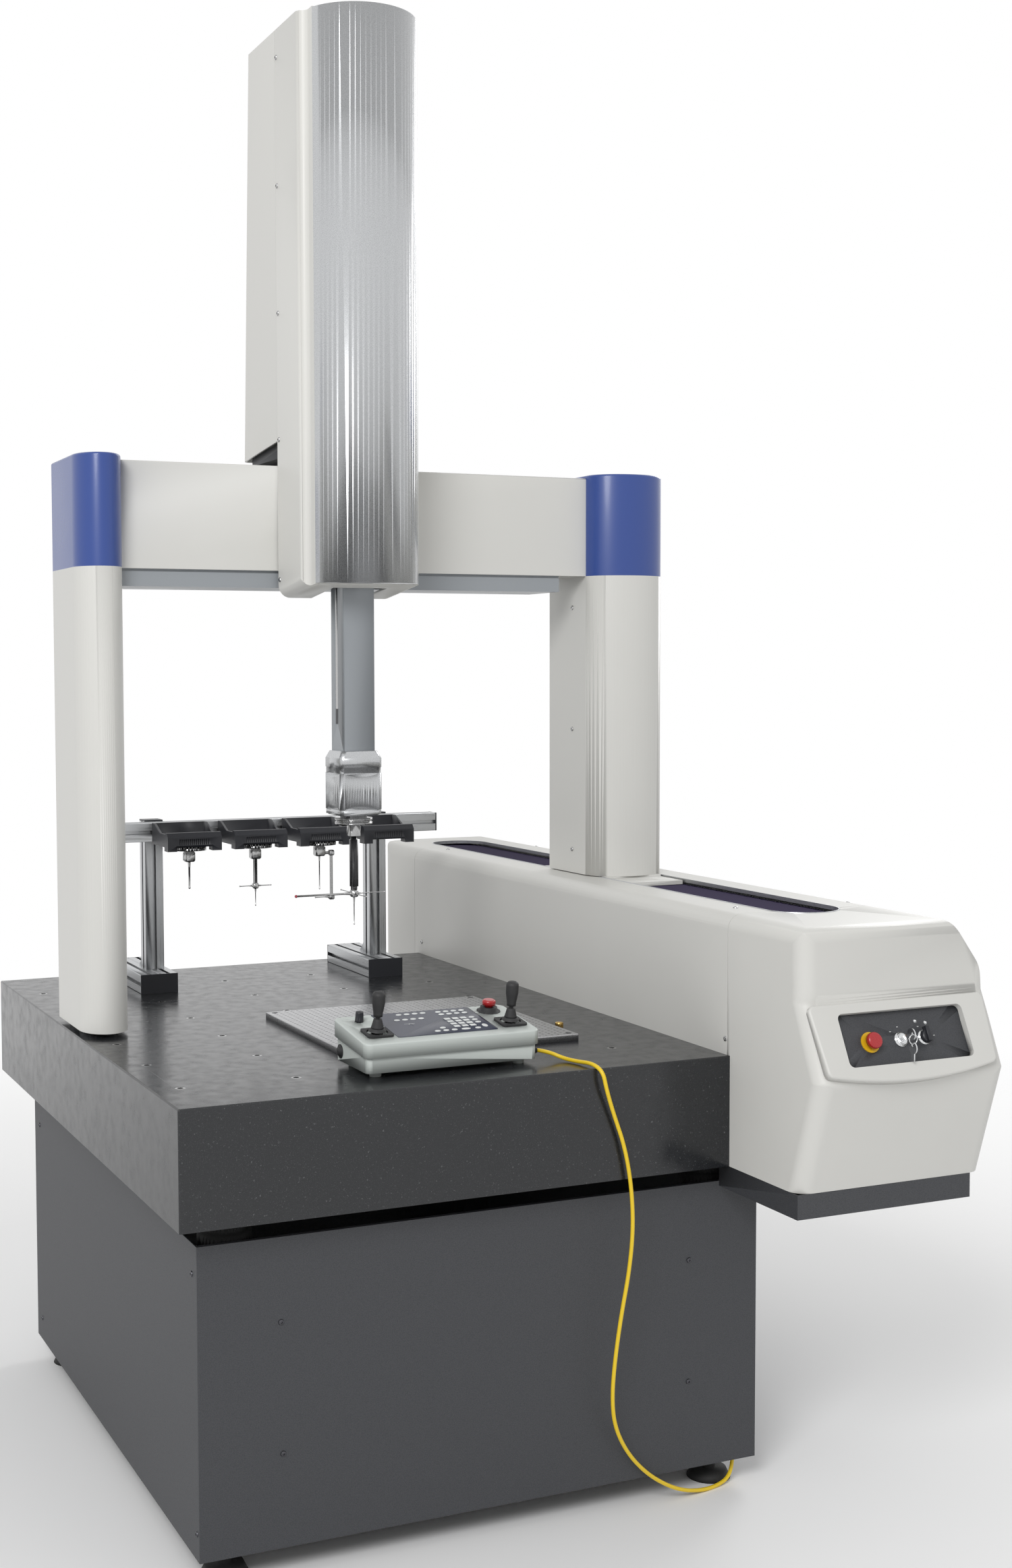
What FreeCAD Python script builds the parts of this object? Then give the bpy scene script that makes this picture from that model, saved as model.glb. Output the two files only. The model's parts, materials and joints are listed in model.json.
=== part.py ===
"""Bridge-type coordinate measuring machine: granite table on a panelled stand, a bridge that slides
along a covered guide beam, a carriage on the bridge, a square ram with a probe head, a stylus rack,
a control panel and a loose joystick console.

Millimetres, +Z up, +X along the bridge, +Y away from the operator. Pieces are drawn from the front
left corner of the table top; save() moves them to the part's own origin, which is the middle of the
footprint at floor level.
"""
import FreeCAD
import Part
import math
import os

os.makedirs("parts", exist_ok=True)
V = FreeCAD.Vector
X, Y, Z = V(1, 0, 0), V(0, 1, 0), V(0, 0, 1)

# ---------------------------------------------------------------- driving dimensions
overall_width = 1384.0      # left face of the table to right face of the guide cover
table_height = 800.0        # table top above the floor
table_open_width = 1000.0   # table between its left edge and the guide cover
table_width = 1340.0        # the slab goes on under the guide cover
table_depth = 1356.0
table_thickness = 196.0

stand_left = 43.0           # outside of the left panel, from the table's left edge
stand_right = 1092.0
stand_front = 52.0
stand_back = 1224.0
stand_top = -236.0
stand_bottom = -751.0
panel_wall = 2.0
tube_size = 60.0            # square tube of the stand
mount_radius = 45.0         # rubber and air dampers under the table
foot_radius = 40.0

guide_cover_top = 248.0
guide_cover_bottom = -table_thickness
cover_wall = 4.0
nose_reach = 268.0          # most forward point of the nose cover, ahead of the table
nose_top_reach = 212.0      # the same at the top edge
cover_front_seam = 8.0
cover_rear_seam = 1374.0
cover_back = 1620.0
seam_gap = 0.4
skirt_height = 42.0
slot_centre = 1162.0
slot_width = 140.0
slot_front = -45.0
slot_back = 1530.0

beam_guide_left = 1102.0    # stone beam that the bridge runs on
beam_guide_right = 1222.0
beam_guide_height = 130.0
beam_guide_front = 30.0
beam_guide_back = 1326.0
air_gap = 0.3               # film that the air bearings float on

bridge_front = 668.0        # front of the beam and of the columns' flat sides
bridge_back = 828.0
column_bulge = 62.0         # rounded column fronts stand this far ahead
left_column_left = 8.0
left_column_width = 90.0
right_column_left = 1079.0
right_column_width = 170.0
column_foot_gap = 8.0       # left column shell above the table
cap_bottom = 868.0
cap_top = 1074.0
beam_top = 1068.0
beam_back_inset = 12.0
rail_height = 33.0
joint_gap = 0.5

housing_left = 407.0
housing_width = 243.0
housing_seam = 663.0        # where front and rear covers of the upright meet
housing_front = 539.0
housing_bottom = 816.0
housing_top = 1882.0
housing_wall = 4.0
plinth_half = 104.0         # curved front cover, half its chord
plinth_front = 508.0
silver_bulge = 66.0
silver_bottom = 838.0
rear_cover_bottom = 1094.0
rear_cover_back_top = 823.0
rear_cover_back_low = 867.0

ram_size = 64.0
ram_front = 554.0
ram_bottom = 523.0
ram_top = 1585.0
head_size = 86.5
head_shoulder = 509.0
head_bottom = 400.0
adapter_radius = 36.0
adapter_thickness = 12.0
cube_size = 22.0
stem_radius = 8.5
star_height = 247.5
stylus_tip = 187.0

rack_front = 1085.0         # front face of the rail that the holders hang on
profile_size = 40.0
rail_left = 160.0
rail_right = 925.0
rack_rail_top = 357.0
left_post = 265.0
right_post = 781.0
rack_base_front = 1057.0
rack_base_length = 250.0
holder_width = 116.0
holder_depth = 118.0
holder_pitch = 145.0
first_holder = 328.0
holder_count = 4
holder_bottom = 313.0

plate_left = 380.0
plate_front = 234.0
plate_size = 448.0
plate_thickness = 12.0
plate_screw_x = 822.0 - 26.0

console_left = 343.0
console_width = 324.0
console_front = 74.0
console_depth = 152.0
console_front_top = 59.0
console_rise = 20.6         # deck is this much higher at the back
console_foot = 9.0
console_lip = 24.0          # depth of the upper shell
console_inset = 5.0         # lower shell stands in by this much

bridge_forward = 500.0      # travels used for clearances
bridge_rearward = 290.0


# ---------------------------------------------------------------- helpers
def box(x0, x1, y0, y1, z0, z1):
    """Box between two corners."""
    return Part.makeBox(x1 - x0, y1 - y0, z1 - z0, V(x0, y0, z0))


def rod(radius, length, base, axis=Z):
    return Part.makeCylinder(radius, length, base, axis)


def cone(r0, r1, length, base, axis=Z):
    return Part.makeCone(r0, r1, length, base, axis)


def outline(points, place):
    """Flat face through 2D points, put in space by place(u, v)."""
    return Part.Face(Part.makePolygon([place(u, v) for u, v in points + points[:1]]))


def along_x(points, x0, x1):
    """Y-Z outline drawn out along X."""
    return outline(points, lambda y, z: V(x0, y, z)).extrude(V(x1 - x0, 0, 0))


def along_y(points, y0, y1):
    """X-Z outline drawn out along Y."""
    return outline(points, lambda x, z: V(x, y0, z)).extrude(V(0, y1 - y0, 0))


def along_z(points, z0, z1):
    """X-Y outline drawn out along Z."""
    return outline(points, lambda x, y: V(x, y, z0)).extrude(V(0, 0, z1 - z0))


def round_edges(shape, radius, wanted):
    """Round every edge that wanted(edge) picks."""
    return shape.makeFillet(radius, [e for e in shape.Edges if wanted(e)])


def is_upright(edge):
    """True for a straight edge along Z."""
    if len(edge.Vertexes) < 2:
        return False
    a, b = edge.Vertexes[0].Point, edge.Vertexes[-1].Point
    return abs(a.x - b.x) < 1e-6 and abs(a.y - b.y) < 1e-6 and edge.Curve.TypeId == "Part::GeomLine"


def edge_at(edge, **where):
    """True if the whole edge lies at the given x, y or z."""
    points = [v.Point for v in edge.Vertexes] + [edge.CenterOfMass]
    return all(abs(getattr(p, axis) - value) < 1e-4 for p in points for axis, value in where.items())


def ring(outer, inner, length, base, axis=Z):
    return rod(outer, length, base, axis).cut(rod(inner, length, base, axis))


def joined(shapes):
    """One solid from shapes that touch or overlap."""
    whole = shapes[0].fuse(shapes[1:]) if len(shapes) > 1 else shapes[0]
    return whole.removeSplitter()


def group(shapes):
    return Part.makeCompound(shapes)


pieces = {}
pivots = {}


def save(node, shape):
    """Keep a piece under its node's name until the footprint is known."""
    pieces[node] = shape


# ---------------------------------------------------------------- stand and table
def stand_frame():
    """Welded square-tube frame inside the panels, with a plate at each corner for a damper."""
    x0, x1 = stand_left + panel_wall + joint_gap, stand_right - panel_wall - joint_gap
    y0, y1 = stand_front + panel_wall + joint_gap, stand_back - panel_wall - joint_gap
    z0, z1 = stand_bottom + 11.0, stand_top - 20.0
    bars = []
    for z in (z0, z1 - tube_size):
        bars += [box(x0, x1, y, y + tube_size, z, z + tube_size) for y in (y0, y1 - tube_size)]
        bars += [box(x, x + tube_size, y0, y1, z, z + tube_size) for x in (x0, x1 - tube_size)]
    bars += [box(x, x + tube_size, y, y + tube_size, z0, z1)
             for x in (x0, x1 - tube_size) for y in (y0, y1 - tube_size)]
    return joined(bars), z0, z1


def stand_corners(reach):
    """Centres of the four corners, reach in from the outside of the panels."""
    xs = (stand_left + reach, stand_right - reach)
    ys = (stand_front + reach, stand_back - reach)
    return [(x, y) for x in xs for y in ys]


corner_reach = 60.0
frame_shape, frame_bottom, frame_top = stand_frame()
save("stand_frame", frame_shape)

feet = []
for x, y in stand_corners(corner_reach):
    pad = cone(foot_radius, foot_radius * 0.8, 16.0, V(x, y, -table_height))
    stem = rod(12.0, frame_bottom + table_height - 16.0, V(x, y, -table_height + 16.0))
    nut = rod(20.0, 10.0, V(x, y, frame_bottom - 14.0))
    feet.append(joined([pad, stem, nut]))

dampers = []
for x, y in stand_corners(corner_reach + 8.0):
    height = -table_thickness - frame_top
    lower = rod(mount_radius, height * 0.4, V(x, y, frame_top))
    waist = rod(mount_radius * 0.8, height * 0.2, V(x, y, frame_top + height * 0.4))
    upper = rod(mount_radius, height * 0.4, V(x, y, frame_top + height * 0.6))
    dampers.append(joined([lower, waist, upper]))
save("levelling_feet", group(feet + dampers))


def sheet_panel(x0, x1, y0, y1, fold):
    """Flat sheet with a fold along its top and bottom edges that ends short of the neighbouring sheets."""
    skin = box(x0, x1, y0, y1, stand_bottom, stand_top)
    if not fold:
        return skin
    short = panel_wall + joint_gap
    lips = []
    for z in (stand_bottom, stand_top - panel_wall):
        lips.append(box(x0 + short, x1 - short, y0 + min(fold, 0), y1 + max(fold, 0), z, z + panel_wall))
    return joined([skin] + lips)


fold = 8.0
inner_left, inner_right = stand_left + panel_wall, stand_right - panel_wall
save("front_panel", sheet_panel(stand_left, stand_right, stand_front, stand_front + panel_wall, fold))
side_y0, side_y1 = stand_front + panel_wall + fold + joint_gap, stand_back - panel_wall - fold - joint_gap
save("side_panels", group([
    sheet_panel(stand_left, inner_left, side_y0 - fold, side_y1 + fold, 0),
    sheet_panel(inner_right, stand_right, side_y0 - fold, side_y1 + fold, 0),
    sheet_panel(stand_left, stand_right, stand_back - panel_wall, stand_back, -fold),
]))

insert_pitch = 200.0
insert_first_x, insert_first_y = 48.0, 148.0
insert_radius, insert_bore, insert_depth = 9.0, 5.0, 24.0
inserts = [(insert_first_x + insert_pitch * i, insert_first_y + insert_pitch * j)
           for i in range(5) for j in range(6)]
table = box(0, table_width, 0, table_depth, -table_thickness, 0)
table = round_edges(table, 3.0, lambda e: edge_at(e, z=0) or is_upright(e))
table = table.cut(group([rod(insert_radius, insert_depth, V(x, y, -insert_depth)) for x, y in inserts]))
save("granite_table", table)
insert_flush = 0.2
save("table_inserts", group([
    ring(insert_radius, insert_bore, insert_depth - insert_flush, V(x, y, -insert_depth)) for x, y in inserts]))

# ---------------------------------------------------------------- guide beam and its covers
guide = box(beam_guide_left, beam_guide_right, beam_guide_front, beam_guide_back, 0, beam_guide_height)
guide = round_edges(guide, 2.0, lambda e: edge_at(e, z=beam_guide_height))
save("y_guide_beam", guide)

bar_width, bar_height = 12.0, 26.0
bar_bottom = 98.0
bar_x = beam_guide_right + 22.0
bar_block = 16.0
bar = box(bar_x, bar_x + bar_width, beam_guide_front, beam_guide_back, bar_bottom, bar_bottom + bar_height)
bar_ends = [box(beam_guide_right, bar_x + bar_width, y, y + bar_block, bar_bottom, bar_bottom + bar_height)
            for y in (beam_guide_front, beam_guide_back - bar_block)]
save("y_drive_bar", joined([bar] + bar_ends))

cover_right = overall_width
bevel_top_x = 1305.0        # right shoulder of the cover is bevelled, then nearly upright
bevel_low_x = 1368.0
bevel_low_z = 160.0


def cover_section(inset):
    """X-Z outline of the guide cover, taken in by inset."""
    left, right = table_open_width + inset, cover_right - inset
    top = guide_cover_top - inset
    slant = inset * 0.62
    return [(left, guide_cover_bottom), (left, top), (bevel_top_x - slant, top),
            (bevel_low_x - inset, bevel_low_z - slant * 0.4), (right, 0.0), (right, guide_cover_bottom)]


def rounded_section(inset, y0, y1):
    """Guide cover outline drawn along Y, with its long edges rounded."""
    shape = along_y(cover_section(inset), y0, y1)
    points = cover_section(inset)
    radii = {1: 28.0 - inset, 2: 30.0 - inset, 3: 60.0 - inset}
    for index, radius in radii.items():
        px, pz = points[index]
        middle = V(px, (y0 + y1) / 2, pz)
        shape = round_edges(shape, radius, lambda e: e.CenterOfMass.distanceToPoint(middle) < 1.0)
    return shape


def slot_tool(margin=0.0):
    """Stadium cutter for the slot that the bridge's foot runs in."""
    r = slot_width / 2 + margin
    z0, z1 = guide_cover_top - 40.0, guide_cover_top + 10.0
    y0, y1 = slot_front + slot_width / 2, slot_back - slot_width / 2
    straight = box(slot_centre - r, slot_centre + r, y0, y1, z0, z1)
    ends = [rod(r, z1 - z0, V(slot_centre, y, z0)) for y in (y0, y1)]
    return joined([straight] + ends)


over = 20.0                 # cutters run past a face by this much
slab_clear = box(table_open_width - over, table_width + joint_gap, -joint_gap, table_depth + joint_gap,
                 -table_thickness - joint_gap, 0)
y0, y1 = cover_front_seam + seam_gap, cover_rear_seam - seam_gap
long_cover = rounded_section(0, y0, y1).cut(rounded_section(cover_wall, y0 - over, y1 + over))
long_cover = long_cover.cut(slab_clear).cut(slot_tool())
save("guide_cover", long_cover)

nose_kink_z, nose_bulge_z = 124.0, -2.0
nose_lower_reach = 206.0


def nose_profile(inset, back):
    """Y-Z outline of the nose: upright brow, leaning control face, undercut chin."""
    return [(back, guide_cover_bottom), (-nose_lower_reach + inset, guide_cover_bottom),
            (-nose_reach + inset, nose_bulge_z), (-nose_top_reach - 2.0 + inset, nose_kink_z),
            (-nose_top_reach + inset, guide_cover_top), (back, guide_cover_top)]


def nose_solid(inset, back):
    """Nose as the common part of its side view and of the guide cover's section, edges rounded."""
    side = along_x(nose_profile(inset, back), table_open_width - over, cover_right + over)
    points = nose_profile(inset, back)
    for index, radius in {2: 30.0, 3: 70.0, 4: 26.0}.items():
        py, pz = points[index]
        middle = V((table_open_width + cover_right) / 2, py, pz)
        side = round_edges(side, radius, lambda e: e.CenterOfMass.distanceToPoint(middle) < 1.0)
    return side.common(rounded_section(inset, -nose_reach - over, back))


nose_corner = 30.0


def corner_cutters(inset):
    """Tools that round the nose's two upright corners; they lean with the side view."""
    radius = nose_corner - inset
    points = nose_profile(inset, cover_front_seam)[1:5]
    tools = []
    for x, sign in ((table_open_width + inset, 1), (cover_right - inset, -1)):
        inner = x + sign * radius
        for (ya, za), (yb, zb) in zip(points, points[1:]):
            run = V(0, yb - ya, zb - za)
            corners = [V(x - sign * over, ya - over, za), V(inner, ya - over, za),
                       V(inner, ya + radius, za), V(x - sign * over, ya + radius, za)]
            slab = Part.Face(Part.makePolygon(corners + corners[:1])).extrude(run)
            circle = Part.Face(Part.Wire(Part.makeCircle(radius, V(inner, ya + radius, za))))
            tools.append(slab.cut(circle.extrude(run)))
    return tools


def nose_form(inset, back):
    form = nose_solid(inset, back)
    for tool in corner_cutters(inset):
        form = form.cut(tool)
    return form


nose = nose_form(0, cover_front_seam - seam_gap)
nose = nose.cut(nose_form(cover_wall, cover_front_seam + over)).cut(slab_clear).cut(slot_tool())

panel_tilt = 26.0           # control panel leans back by this angle
panel_centre = V(1181.5, -242.0, 61.0)
panel_width, panel_height, panel_corner = 253.0, 91.0, 10.0


def on_panel(shape):
    """Turn a shape drawn at the origin (X along the panel, Z up it, -Y outwards) and seat it there."""
    placed = shape.copy()
    placed.rotate(V(0, 0, 0), X, -panel_tilt)
    placed.translate(panel_centre)
    return placed


def panel_plate(width, height, corner, y0, y1):
    plate = box(-width / 2, width / 2, y0, y1, -height / 2, height / 2)
    return plate.makeFillet(corner, [e for e in plate.Edges
                                     if abs(e.Vertexes[0].X - e.Vertexes[-1].X) < 1e-6
                                     and abs(e.Vertexes[0].Z - e.Vertexes[-1].Z) < 1e-6])


bezel_margin_x, bezel_margin_z, bezel_back = 52.0, 24.0, 14.0
bezel_front = 12.0          # bezel stands this far ahead of the panel
window_depth = 40.0
nose = nose.cut(on_panel(panel_plate(panel_width + 24.0, panel_height + 24.0, 18.0, -60.0, window_depth)))
save("guide_front_cover", nose)


def bezel():
    """Raised frame round the panel: its lower edge bows forward and down."""
    half_w, half_h = panel_width / 2 + bezel_margin_x, panel_height / 2 + bezel_margin_z
    top = half_h - 6.0
    left, right = V(-half_w, 0, top), V(half_w, 0, top)
    low_left, low_right = V(-half_w + 8.0, 0, -half_h + 12.0), V(half_w - 8.0, 0, -half_h + 12.0)
    bow = Part.Arc(low_right, V(0, 0, -half_h - 6.0), low_left).toShape()
    wire = Part.Wire([Part.makeLine(low_left, left), Part.makeLine(left, right),
                      Part.makeLine(right, low_right), bow])
    slab = Part.Face(wire).extrude(V(0, -bezel_front - bezel_back, 0))
    slab.translate(V(0, bezel_back, 0))
    slab = round_edges(slab, 12.0, lambda e: abs(e.Vertexes[0].X - e.Vertexes[-1].X) < 1e-6
                       and abs(e.Vertexes[0].Z - e.Vertexes[-1].Z) < 1e-6)
    slab = round_edges(slab, 4.0, lambda e: edge_at(e, y=-bezel_front))
    window = panel_plate(panel_width, panel_height, panel_corner, -over - bezel_front, over + bezel_back)
    return slab.cut(window)


bezel_fit = 0.3
nose_skin = nose_solid(-bezel_fit, cover_front_seam)
panel_margin = 20.0         # the panel is this much wider and higher than the window it shows through
rebate = panel_plate(panel_width + panel_margin + 2 * bezel_fit, panel_height + panel_margin + 2 * bezel_fit,
                     14.0, -bezel_fit, over + bezel_back)
save("control_bezel", on_panel(bezel().cut(rebate)).cut(nose_skin))

panel_sheet = 2.0
panel = panel_plate(panel_width + panel_margin, panel_height + panel_margin, 14.0, 0, panel_sheet)
estop_u, key_u, rotary_u, control_v = 1114.0 - 1181.5, 1176.0 - 1181.5, 1224.0 - 1181.5, -4.0
control_bores = {estop_u: 8.0, key_u: 9.0, rotary_u: 9.0}
for u, r in control_bores.items():
    panel = panel.cut(rod(r, panel_sheet, V(u, 0, control_v), Y))
rim_depth = 11.0
rim = panel_plate(panel_width + panel_margin, panel_height + panel_margin, 14.0, panel_sheet,
                  panel_sheet + rim_depth)
rim = rim.cut(panel_plate(panel_width + panel_margin - 8.0, panel_height + panel_margin - 8.0, 10.0, 0,
                          panel_sheet + rim_depth))
save("control_panel", on_panel(joined([panel, rim])))


# ---------------------------------------------------------------- rear cover, skirt and slot
rear_corner = 100.0


def rear_form(inset, front):
    """Tail of the guide cover, with large rounded corners in plan."""
    section = rounded_section(inset, front, cover_back - inset)
    plan = box(table_open_width + inset, cover_right - inset, front - over, cover_back - inset,
               guide_cover_bottom - over, guide_cover_top + over)
    plan = round_edges(plan, rear_corner - inset,
                       lambda e: is_upright(e) and abs(e.CenterOfMass.y - cover_back + inset) < 1e-3)
    return section.common(plan)


rear_form_front = cover_rear_seam + seam_gap
rear = rear_form(0, rear_form_front).cut(rear_form(cover_wall, rear_form_front - over))
rear = rear.cut(slab_clear).cut(slot_tool())
save("guide_rear_cover", rear)

skirt_left, skirt_right = table_open_width, 1356.0
skirt_front, skirt_back = -nose_lower_reach, cover_back - 40.0
skirt_wall = 2.0
skirt_top = guide_cover_bottom - bezel_fit


def skirt_plan(inset):
    """Plan of the tray below the cover: across the nose, then back along the stand's right side."""
    inner = stand_right + joint_gap * 4 + inset
    return [(skirt_left + inset, skirt_front + inset), (skirt_right - inset, skirt_front + inset),
            (skirt_right - inset, skirt_back - inset), (inner, skirt_back - inset),
            (inner, stand_front - over - inset), (skirt_left + inset, stand_front - over - inset)]


tray = along_z(skirt_plan(0), skirt_top - skirt_height, skirt_top)
tray = tray.cut(along_z(skirt_plan(skirt_wall), skirt_top - skirt_height + skirt_wall, skirt_top + over))
save("guide_skirt", tray)

trim_lip, trim_wall, trim_proud = 6.0, 2.0, 1.2
trim_top = guide_cover_top + trim_proud
trim_flange_top = guide_cover_top - cover_wall - bezel_fit


def stadium(radius, z0, z1):
    y0, y1 = slot_front + slot_width / 2, slot_back - slot_width / 2
    straight = box(slot_centre - radius, slot_centre + radius, y0, y1, z0, z1)
    return joined([straight] + [rod(radius, z1 - z0, V(slot_centre, y, z0)) for y in (y0, y1)])


slot_radius = slot_width / 2
trim = joined([stadium(slot_radius - bezel_fit, trim_flange_top - trim_wall, trim_top),
               stadium(slot_radius + trim_lip, trim_flange_top - trim_wall, trim_flange_top)])
trim = trim.cut(stadium(slot_radius - bezel_fit - trim_wall, trim_flange_top - over, trim_top + over))
save("slot_trim", trim)

neck_half = 64.5
neck_front, neck_back = 612.0, 822.0
foot_plate_front, foot_plate_back = 526.0, 908.0
foot_plate_top, foot_plate_thickness = 246.0, 8.0
bellows_gap = 0.3
bellows_top = foot_plate_top - foot_plate_thickness - bellows_gap
bellows_height = 12.0
bellows_half = neck_half - 1.0
pleat_target = 16.0
pleat_sheet = 1.6


def bellows(y0, y1, plate_at):
    """Folded strip between y0 and y1, with a flat end plate that reaches up to the cover."""
    pleats = round((y1 - y0) / pleat_target)
    step = (y1 - y0) / pleats
    low, high = bellows_top - bellows_height, bellows_top
    tops = []
    for i in range(pleats):
        tops += [(y0 + i * step, low), (y0 + (i + 0.5) * step, high - pleat_sheet)]
    tops.append((y1, low))
    upper = [(y, z + pleat_sheet) for y, z in reversed(tops)]
    strip = along_x(tops + upper, slot_centre - bellows_half, slot_centre + bellows_half)
    side = -1 if plate_at == y0 else 1
    far = plate_at + side * 3.0
    plate = box(slot_centre - bellows_half, slot_centre + bellows_half, min(plate_at, far), max(plate_at, far),
                low, guide_cover_top - cover_wall - bellows_gap)
    return joined([strip, plate])


front_bellows_end, rear_bellows_end = -80.0, 1565.0
save("front_bellows", bellows(front_bellows_end, neck_front - bellows_gap, front_bellows_end))
save("rear_bellows", bellows(neck_back + bellows_gap, rear_bellows_end, rear_bellows_end))

# ---------------------------------------------------------------- controls on the nose
mushroom_radius, mushroom_cap = 14.0, 10.0
estop_stand, estop_stroke = 9.0, 4.0


def at_control(u, shape):
    """Seat a shape that is drawn along -Y at the origin on the control panel at u."""
    moved = shape.copy()
    moved.translate(V(u, 0, control_v))
    return on_panel(moved)


def mushroom(stem_radius, stem_length, head_radius, head_depth, start):
    """Push head on a stem: the head starts this far ahead of the panel."""
    stem = rod(stem_radius, stem_length, V(0, -start, 0), Y)
    head = rod(head_radius, head_depth, V(0, -start - head_depth, 0), Y)
    head = head.makeFillet(head_depth * 0.45, [e for e in head.Edges
                                               if abs(e.CenterOfMass.y + start + head_depth) < 1e-3])
    return joined([stem, head])


disc_radius, disc_thickness = 17.5, 2.0
collar_radius, collar_height, collar_bore = 12.5, 6.0, 8.6
yellow_disc = ring(disc_radius, control_bores[estop_u] - 0.4, disc_thickness, V(0, -disc_thickness, 0), Y)
collars = [at_control(estop_u, yellow_disc)]
for u in (key_u, rotary_u):
    flange = ring(collar_radius, collar_bore, collar_height * 0.4, V(0, -collar_height * 0.4, 0), Y)
    raised = ring(collar_radius - 2.5, collar_bore, collar_height, V(0, -collar_height, 0), Y)
    collars.append(at_control(u, joined([flange, raised])))
save("switch_collars", group(collars))

pin_fit = 0.3
estop_stem = control_bores[estop_u] - 0.4 - pin_fit
save("panel_estop_button", at_control(estop_u, mushroom(
    estop_stem, estop_stand + 14.0, mushroom_radius, mushroom_cap, estop_stand)))

barrel_radius = collar_bore - pin_fit
barrel_front = collar_height + 1.0
barrel_depth = 10.0
key_thickness, key_length, bow_radius = 2.2, 18.0, 10.0
key_hole, hole_offset = 3.0, 5.0
bow_centre = -barrel_front - key_length - bow_radius + 3.0
barrel = rod(barrel_radius, barrel_front + barrel_depth, V(0, -barrel_front, 0), Y)
blade = box(-key_thickness / 2, key_thickness / 2, bow_centre, -barrel_front, -4.0, 4.0)
bow = rod(bow_radius, key_thickness, V(-key_thickness / 2, bow_centre, 0), X)
bow_hole = rod(key_hole, key_thickness * 2, V(-key_thickness, bow_centre - hole_offset, 0), X)
save("switch_key", at_control(key_u, joined([barrel, blade, bow]).cut(bow_hole)))

# the key ring hangs plumb from the key's hole, and the spare key from the ring
loop_radius, loop_wire, loop_play = 8.0, 0.9, 0.4
tilt = math.radians(panel_tilt)
hole_out = -(bow_centre - hole_offset)
hang_y = panel_centre.y - hole_out * math.cos(tilt) + control_v * math.sin(tilt)
hang_z = panel_centre.z + hole_out * math.sin(tilt) + control_v * math.cos(tilt)
wire_drop = key_hole - loop_wire - loop_play
ring_pin = V(panel_centre.x + key_u, hang_y, hang_z - wire_drop)
loop = Part.makeTorus(loop_radius, loop_wire, ring_pin - V(0, 0, loop_radius), Y)
spare_hole = ring_pin - V(0, 0, 2 * loop_radius + wire_drop)
spare_middle = spare_hole - V(0, 0, hole_offset)
spare_blade_length = 12.0
half_key = V(key_thickness / 2, 0, 0)
spare_bow = rod(bow_radius, key_thickness, spare_middle - half_key, X)
spare_blade = box(spare_middle.x - key_thickness / 2, spare_middle.x + key_thickness / 2,
                  spare_middle.y - 4.0, spare_middle.y + 4.0,
                  spare_middle.z - bow_radius - spare_blade_length, spare_middle.z - bow_radius + 2.0)
spare = joined([spare_bow, spare_blade]).cut(rod(key_hole, key_thickness * 2, spare_hole - half_key * 2, X))
save("spare_key", group([loop, spare]))
pivots["spare_key"] = ring_pin

lever_hub, lever_height, lever_length = collar_radius - 1.0, 12.0, 16.0
hub_front = collar_height + pin_fit
hub_stem = rod(barrel_radius, hub_front + barrel_depth, V(0, -hub_front, 0), Y)
hub = cone(lever_hub - 2.0, lever_hub, lever_height * 0.5, V(0, -hub_front - lever_height * 0.5, 0), Y)
lever = box(-4.0, 4.0, -hub_front - lever_height, -hub_front - 1.0, -lever_hub + 2.0, lever_length)
lever = lever.makeFillet(2.5, [e for e in lever.Edges if edge_at(e, y=-hub_front - lever_height)])
save("rotary_lever", at_control(rotary_u, joined([hub_stem, hub, lever])))

# ---------------------------------------------------------------- bridge
column_wall = 3.0
left_centre = left_column_left + left_column_width / 2
right_centre = right_column_left + right_column_width / 2


def tower_plan(centre, width, inset, z):
    """Face in plan: flat sides and back, half-ellipse front."""
    half, reach = width / 2 - inset, column_bulge - inset
    middle = V(centre, bridge_front, z)
    tip, side = middle - V(0, reach, 0), middle + V(half, 0, 0)
    if reach > half:
        arc = Part.ArcOfEllipse(Part.Ellipse(tip, side, middle), -math.pi / 2, math.pi / 2).toShape()
    else:
        arc = Part.ArcOfEllipse(Part.Ellipse(side, tip, middle), 0, math.pi).toShape()
    back = bridge_back - inset
    a, b = V(centre - half, bridge_front, z), V(centre - half, back, z)
    c, d = V(centre + half, back, z), V(centre + half, bridge_front, z)
    return Part.Face(Part.Wire(Part.__sortEdges__([arc, Part.makeLine(a, b), Part.makeLine(b, c),
                                                   Part.makeLine(c, d)])))


def tower(centre, width, z0, z1, floor, roof):
    """Hollow column; floor and roof are the thicknesses of its ends, 0 where it is open."""
    outer = tower_plan(centre, width, 0, z0).extrude(V(0, 0, z1 - z0))
    start = z0 + floor if floor else z0 - over
    end = z1 - roof if roof else z1 + over
    return outer.cut(tower_plan(centre, width, column_wall, start).extrude(V(0, 0, end - start)))


right_column_bottom = 250.0
column_end = 6.0
save("left_column", tower(left_centre, left_column_width, column_foot_gap, cap_bottom, 0, column_end))
save("right_column", tower(right_centre, right_column_width, right_column_bottom, cap_bottom, column_end, column_end))


def column_cap(centre, width):
    """Cap over a column's top, open below, its upper edge rounded."""
    cap = tower_plan(centre, width, 0, cap_bottom).extrude(V(0, 0, cap_top - cap_bottom))
    cap = round_edges(cap, 5.0, lambda e: edge_at(e, z=cap_top))
    inside_top = cap_top - column_wall
    return cap.cut(tower_plan(centre, width, column_wall, cap_bottom - over).extrude(
        V(0, 0, inside_top - cap_bottom + over)))


save("column_caps", group([column_cap(left_centre, left_column_width),
                           column_cap(right_centre, right_column_width)]))

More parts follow.
